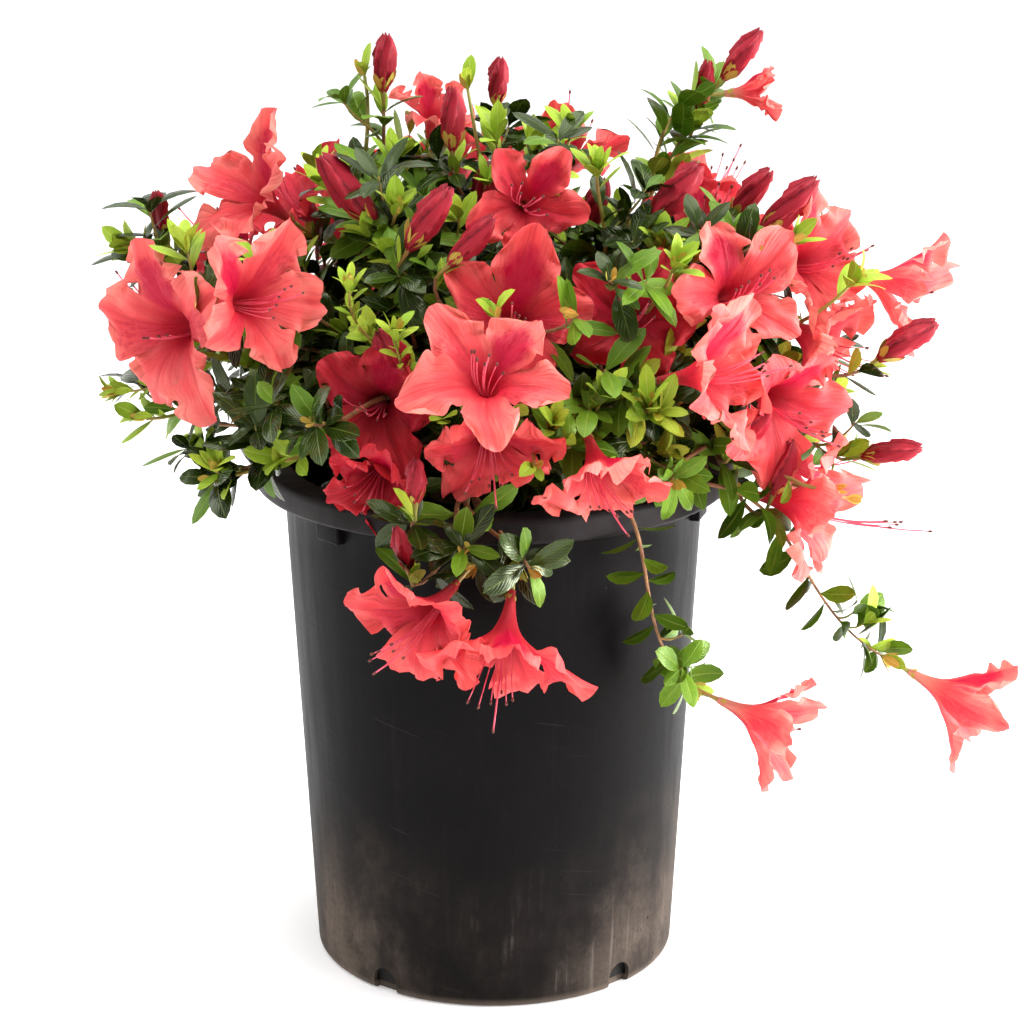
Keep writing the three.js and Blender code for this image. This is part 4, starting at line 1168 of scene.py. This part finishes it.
def pot_profile():
    """The pot's section: underside, foot, wall, flared and rolled rim, inner wall and floor."""
    base, shoulder, top, under = POT_BASE, POT_SHOULDER, POT_TOP, POT_TOP - POT_BAND
    inner = shoulder - POT_WALL
    return [
        (0, 0.6), (base - 14, 0.6), (base - 10, 0), *arc(base - 3, 3, 3, -90, -8, 5),
        *((base + (shoulder - base) * i / 13, 3 + (under - 9) * i / 13) for i in range(1, 13)),
        (shoulder, under - 3), (shoulder + 1, under - 1.2), *arc(POT_RIM - 2.2, under + 2, 2.2, -95, 0, 5),
        (POT_RIM, under + 5), (POT_RIM, top - 3.5), *arc(POT_RIM - 3, top - 3, 3, 10, 90, 5),
        (shoulder + 4, top - 0.4), (shoulder, top - 0.8), *arc(shoulder - 0.4, top - 3, 2.2, 95, 180, 4),
        *((inner + (base - shoulder) * i / 8, under - 4 + (7 - under) * i / 8) for i in range(8)),
        (base - POT_WALL, POT_FLOOR), (base - POT_WALL - 3, POT_FLOOR), (0, POT_FLOOR)]


def joined(ob, tool, operation):
    """ob cut by or joined to tool, which is then removed."""
    mod = ob.modifiers.new("join", "BOOLEAN")
    mod.operation, mod.object, mod.solver = operation, tool, "EXACT"
    depsgraph = bpy.context.evaluated_depsgraph_get()
    me = bpy.data.meshes.new_from_object(ob.evaluated_get(depsgraph))
    ob.modifiers.clear()
    ob.data = me
    bpy.data.objects.remove(tool)


def lugs():
    """The lugs that stand out under the rim, with softened edges."""
    made = bmesh.new()
    place = Vector((0, 0.5 - POT_SHOULDER, POT_TOP - POT_BAND - LUG["height"] / 2 + 0.5)) * MM
    size = Matrix.Diagonal((LUG["width"] * MM, LUG["depth"] * 2 * MM, (LUG["height"] + 1) * MM, 1))
    for i in range(LUG["count"]):
        bearing = math.radians(LUG["first"] + 360 * i / LUG["count"])
        turn = Matrix.Rotation(bearing, 4, "Z") @ Matrix.Translation(place)
        bmesh.ops.create_cube(made, size=1, matrix=turn @ size)
    bmesh.ops.bevel(made, geom=made.edges[:], offset=0.0009, segments=3, affect="EDGES", profile=0.5)
    return placed(write_back(made, bpy.data.meshes.new("lugs")))


def notch_cutters():
    """Arches for the four drain notches at the foot."""
    pile = Pile("notches")
    half, straight = NOTCH["width"] / 2, NOTCH["height"] - NOTCH["width"] / 2
    outline = [(-half, -2), (half, -2)] + arc(0, straight, half, 0, 180, 16)
    middle, aside = NOTCH["middle"], NOTCH["half_angle"]
    for degrees in (middle - aside, middle + aside, middle + 180 - aside, middle + 180 + aside):
        bearing = math.radians(degrees)
        out = np.array([math.sin(bearing), -math.cos(bearing), 0])
        sideways = np.array([math.cos(bearing), math.sin(bearing), 0])
        rings = [[out * depth + sideways * x + np.array([0, 0, z]) for x, z in outline]
                 for depth in (POT_BASE - 4.5, POT_BASE + 7)]
        pile.add(rings, tube_faces(2, len(outline)))
    return placed(pile.mesh())


def make_pot():
    pile = Pile("nursery_pot")
    lathe(pile, pot_profile(), POT_SIDES)
    ob = piece(pile.mesh(), pot_material())
    joined(ob, lugs(), "UNION")
    joined(ob, notch_cutters(), "DIFFERENCE")
    me = ob.data
    me.shade_smooth()
    me.set_sharp_from_angle(angle=math.radians(38))
    while len(me.materials) > 1:
        me.materials.pop()
    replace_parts(ob, "pot")


def add_chips(pile, reach, top):
    """Chips of bark, strewn over a disc."""
    rng = np.random.default_rng(11)
    corners = np.array([(x, y, z) for x in (-1, 1) for y in (-1, 1) for z in (-1, 1)], float)
    sides = np.array([[0, 1, 3, 2], [4, 6, 7, 5], [0, 4, 5, 1], [2, 3, 7, 6], [0, 2, 6, 4], [1, 5, 7, 3]])
    for _ in range(CHIPS["count"]):
        out, turn = reach * math.sqrt(rng.random()), 2 * math.pi * rng.random()
        size = np.array([rng.uniform(*CHIPS[side]) for side in ("length", "width", "height")])
        spin = Matrix.Rotation(2 * math.pi * rng.random(), 3, "Z")
        spin = np.array(spin @ Matrix.Rotation(rng.uniform(-0.5, 0.5), 3, "X"))
        chip = (corners * size * rng.uniform(0.75, 1.1, corners.shape)) @ spin.T
        centre = np.array([out * math.sin(turn), out * math.cos(turn), top + rng.uniform(0, 3)])
        pile.add(chip + centre, [sides])


def make_soil():
    """Potting mix: a rough dark top with chips of bark, and plain sides down to the pot's floor."""
    pile = Pile("potting_mix_top")
    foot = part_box("potting_mix")[0].z / MM
    rim = POT_SHOULDER - POT_WALL - 2
    profile = [(0, foot), (POT_BASE - POT_WALL - 1.5, foot), (rim - 0.8, SOIL_TOP - 5)]
    profile += [(rim - 3 * i, SOIL_TOP - 4 + 3 * math.sin(math.pi / 2 * i / 30)) for i in range(1, 30)]
    lathe(pile, [*profile, (0, SOIL_TOP)], 96)
    for p in pile.points[0]:
        if p[2] > SOIL_TOP - 6:
            p[2] += 2.2 * noise.noise(Vector(p) / 7) + 1.2 * noise.noise(Vector(p) / 2.6)
    add_chips(pile, rim - 3, SOIL_TOP - 2.5)
    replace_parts(piece(pile.mesh(), soil_material()), "potting_mix")


# Plant

def add_twig(twig, woody, green):
    """The skin of a twig, among the green ones where it is young."""
    size = SIDE_TWIG if twig.kind == "side" or twig.fine else TWIG
    slimmer = TRAIL_SLIMMER if twig.mass.trail else 1
    radii = [slimmer * r for r in taper(size["foot"], size["tip"], len(twig.points) - 1)]
    limb_skin(green if twig.lime or twig.kind == "side" else woody, twig.points, radii, size["sides"])


def add_head(spray, random, piles):
    """What a spray bears at its end: a blossom or a bud on its stalk, or a growing tip."""
    base, node, way = spray.base, spray.node, spray.way
    green, scales = piles["twigs_green"], piles["bud_scales"]
    if spray.kind == "bloom":
        add_corolla(piles[("petals_light", "petals_middle", "petals_deep")[spray.tone]], spray, random)
        add_stamens(piles["stamens"], piles["anthers"], spray, random)
        limb_skin(green, bend(node, way, base + way * 1.5, way, 4), [0.9, 0.85, 0.85, 1.0, 1.4], 6)
        add_scales(scales, node, way, 5, 9, 0.55, random)
        add_scales(scales, base, way, 5, 4.5, 0.5, random)
    elif spray.kind == "bud":
        limb_skin(green, bend(node, way, base + way * 2, way, 3), [0.9, 0.9, 1.2, 1.8], 6)
        add_bud(piles["buds"], spray, random)
        add_scales(scales, base + way * 0.5, way, 7, 9.5 * spray.size, 0.5, random)
    else:
        add_scales(scales, node, way, 3, 8, 0.3, random)


def grow_plant():
    """The piles of all that grows out of the pot, by the names of their pieces."""
    piles = {name: (Leaves if row[1] is leaf_material else Pile)(name) for name, row in PIECES.items()}
    grow_boughs()
    add_bark(piles["trunk_and_boughs"])
    sprays, blossoms = grow_sprays()
    twigs = list(sprays)
    for index, spray in enumerate(sprays):
        twigs += side_twigs(spray, blossoms, index)
    for index, twig in enumerate(twigs + filling_twigs(blossoms)):
        add_leaves(twig, index, piles, blossoms)
        add_twig(twig, piles["twigs_woody"], piles["twigs_green"])
    for index, spray in enumerate(sprays):
        add_head(spray, draws_for(5, index), piles)
    return piles


def weld(me):
    """Joins the petals of each blossom where their edges meet."""
    made = bmesh.new()
    made.from_mesh(me)
    bmesh.ops.remove_doubles(made, verts=made.verts, dist=0.00002)
    write_back(made, me)


def make_plant():
    pieces = {}
    for name, pile in grow_plant().items():
        slot, maker, *look = PIECES[name]
        me = pile.mesh()
        if maker is petal_material:
            weld(me)
        pieces[name] = piece(me, maker(*look))
    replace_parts(pieces["trunk_and_boughs"], "trunk", *(f"bough_{m.name}" for m in MASSES))
    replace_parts(pieces["leaves_green"], *(f"foliage_{m.name}" for m in MASSES))


# Studio

WHITE = (1, 1, 1, 1)
SKY = {"front": 0.16, "behind": 0.92}
CAMERA = {"back": 1.417, "height": 0.649, "aside": 0.0085, "pitch": 17.11, "view_angle": 18.3}
# Place in metres, height of what it is aimed at, width in metres, power in watts
LIGHTS = {
    "over": ((0.2, -0.15, 2.4), 0.2, 2.2, 88),
    "left_front": ((-1.3, -1.5, 1.1), 0.28, 0.8, 7),
    "right_front": ((1.5, -1.3, 1.0), 0.28, 0.9, 11),
    "right_low": ((1.3, -0.2, 0.3), 0.12, 0.6, 33),
    "right_back": ((1.7, 0.7, 0.8), 0.2, 1.0, 12),
    "left_back": ((-1.7, 0.3, 0.8), 0.2, 1.0, 10),
}


def make_camera():
    data = bpy.data.cameras.new("camera")
    data.sensor_width = 36
    data.angle = math.radians(CAMERA["view_angle"])
    camera = placed(data)
    camera.location = (CAMERA["aside"], -CAMERA["back"], CAMERA["height"])
    camera.rotation_euler = (math.radians(90 - CAMERA["pitch"]), 0, 0)
    bpy.context.scene.camera = camera
    bpy.context.scene.view_settings.view_transform = "Standard"


def make_floor():
    made = bmesh.new()
    bmesh.ops.create_grid(made, x_segments=8, y_segments=8, size=6)
    me = write_back(made, bpy.data.meshes.new("floor"))
    # The floor glows a little: painted light that lifts it and the shadows on it to white
    me.materials.append(simple_material("floor_paper_glowing", (0.9, 0.9, 0.9, 1), (0.93, 0.93, 0.93, 1), 3, 0.9,
                                        0.0001, Emission_Color=WHITE, Emission_Strength=0.2))
    placed(me)


def make_sky():
    """The light of the room: bright behind the plant, dim on the camera's side. Seen straight on, it is
    the same white all round."""
    world = bpy.data.worlds.new("studio")
    world.use_nodes = True
    g = Graph(world.node_tree)
    y = g.parts(g.node("TexCoord", output="Generated"))[1]
    strength = g.ramp(y, -0.9, 0.3, SKY["front"], SKY["behind"], "LINEAR")
    light = g.node("Background", {"Color": WHITE, "Strength": strength})
    seen = g.node("Background", {"Color": WHITE})
    to_camera = g.node("LightPath", output="Is Camera Ray")
    both = g.node("MixShader", {0: to_camera, 1: light, 2: seen})
    g.put(world.node_tree.nodes["World Output"].inputs["Surface"], both)
    bpy.context.scene.world = world


def soft_light(name, place, target_height, size, power):
    data = bpy.data.lights.new(name, "AREA")
    data.shape, data.size, data.energy = "SQUARE", size, power
    light = placed(data)
    light.location = place
    aim = Vector((0, 0, target_height)) - Vector(place)
    light.rotation_euler = aim.to_track_quat("-Z", "Y").to_euler()


make_camera()
make_sky()
make_floor()
for light_name, light_row in LIGHTS.items():
    soft_light(light_name, *light_row)
make_pot()
make_soil()
make_plant()
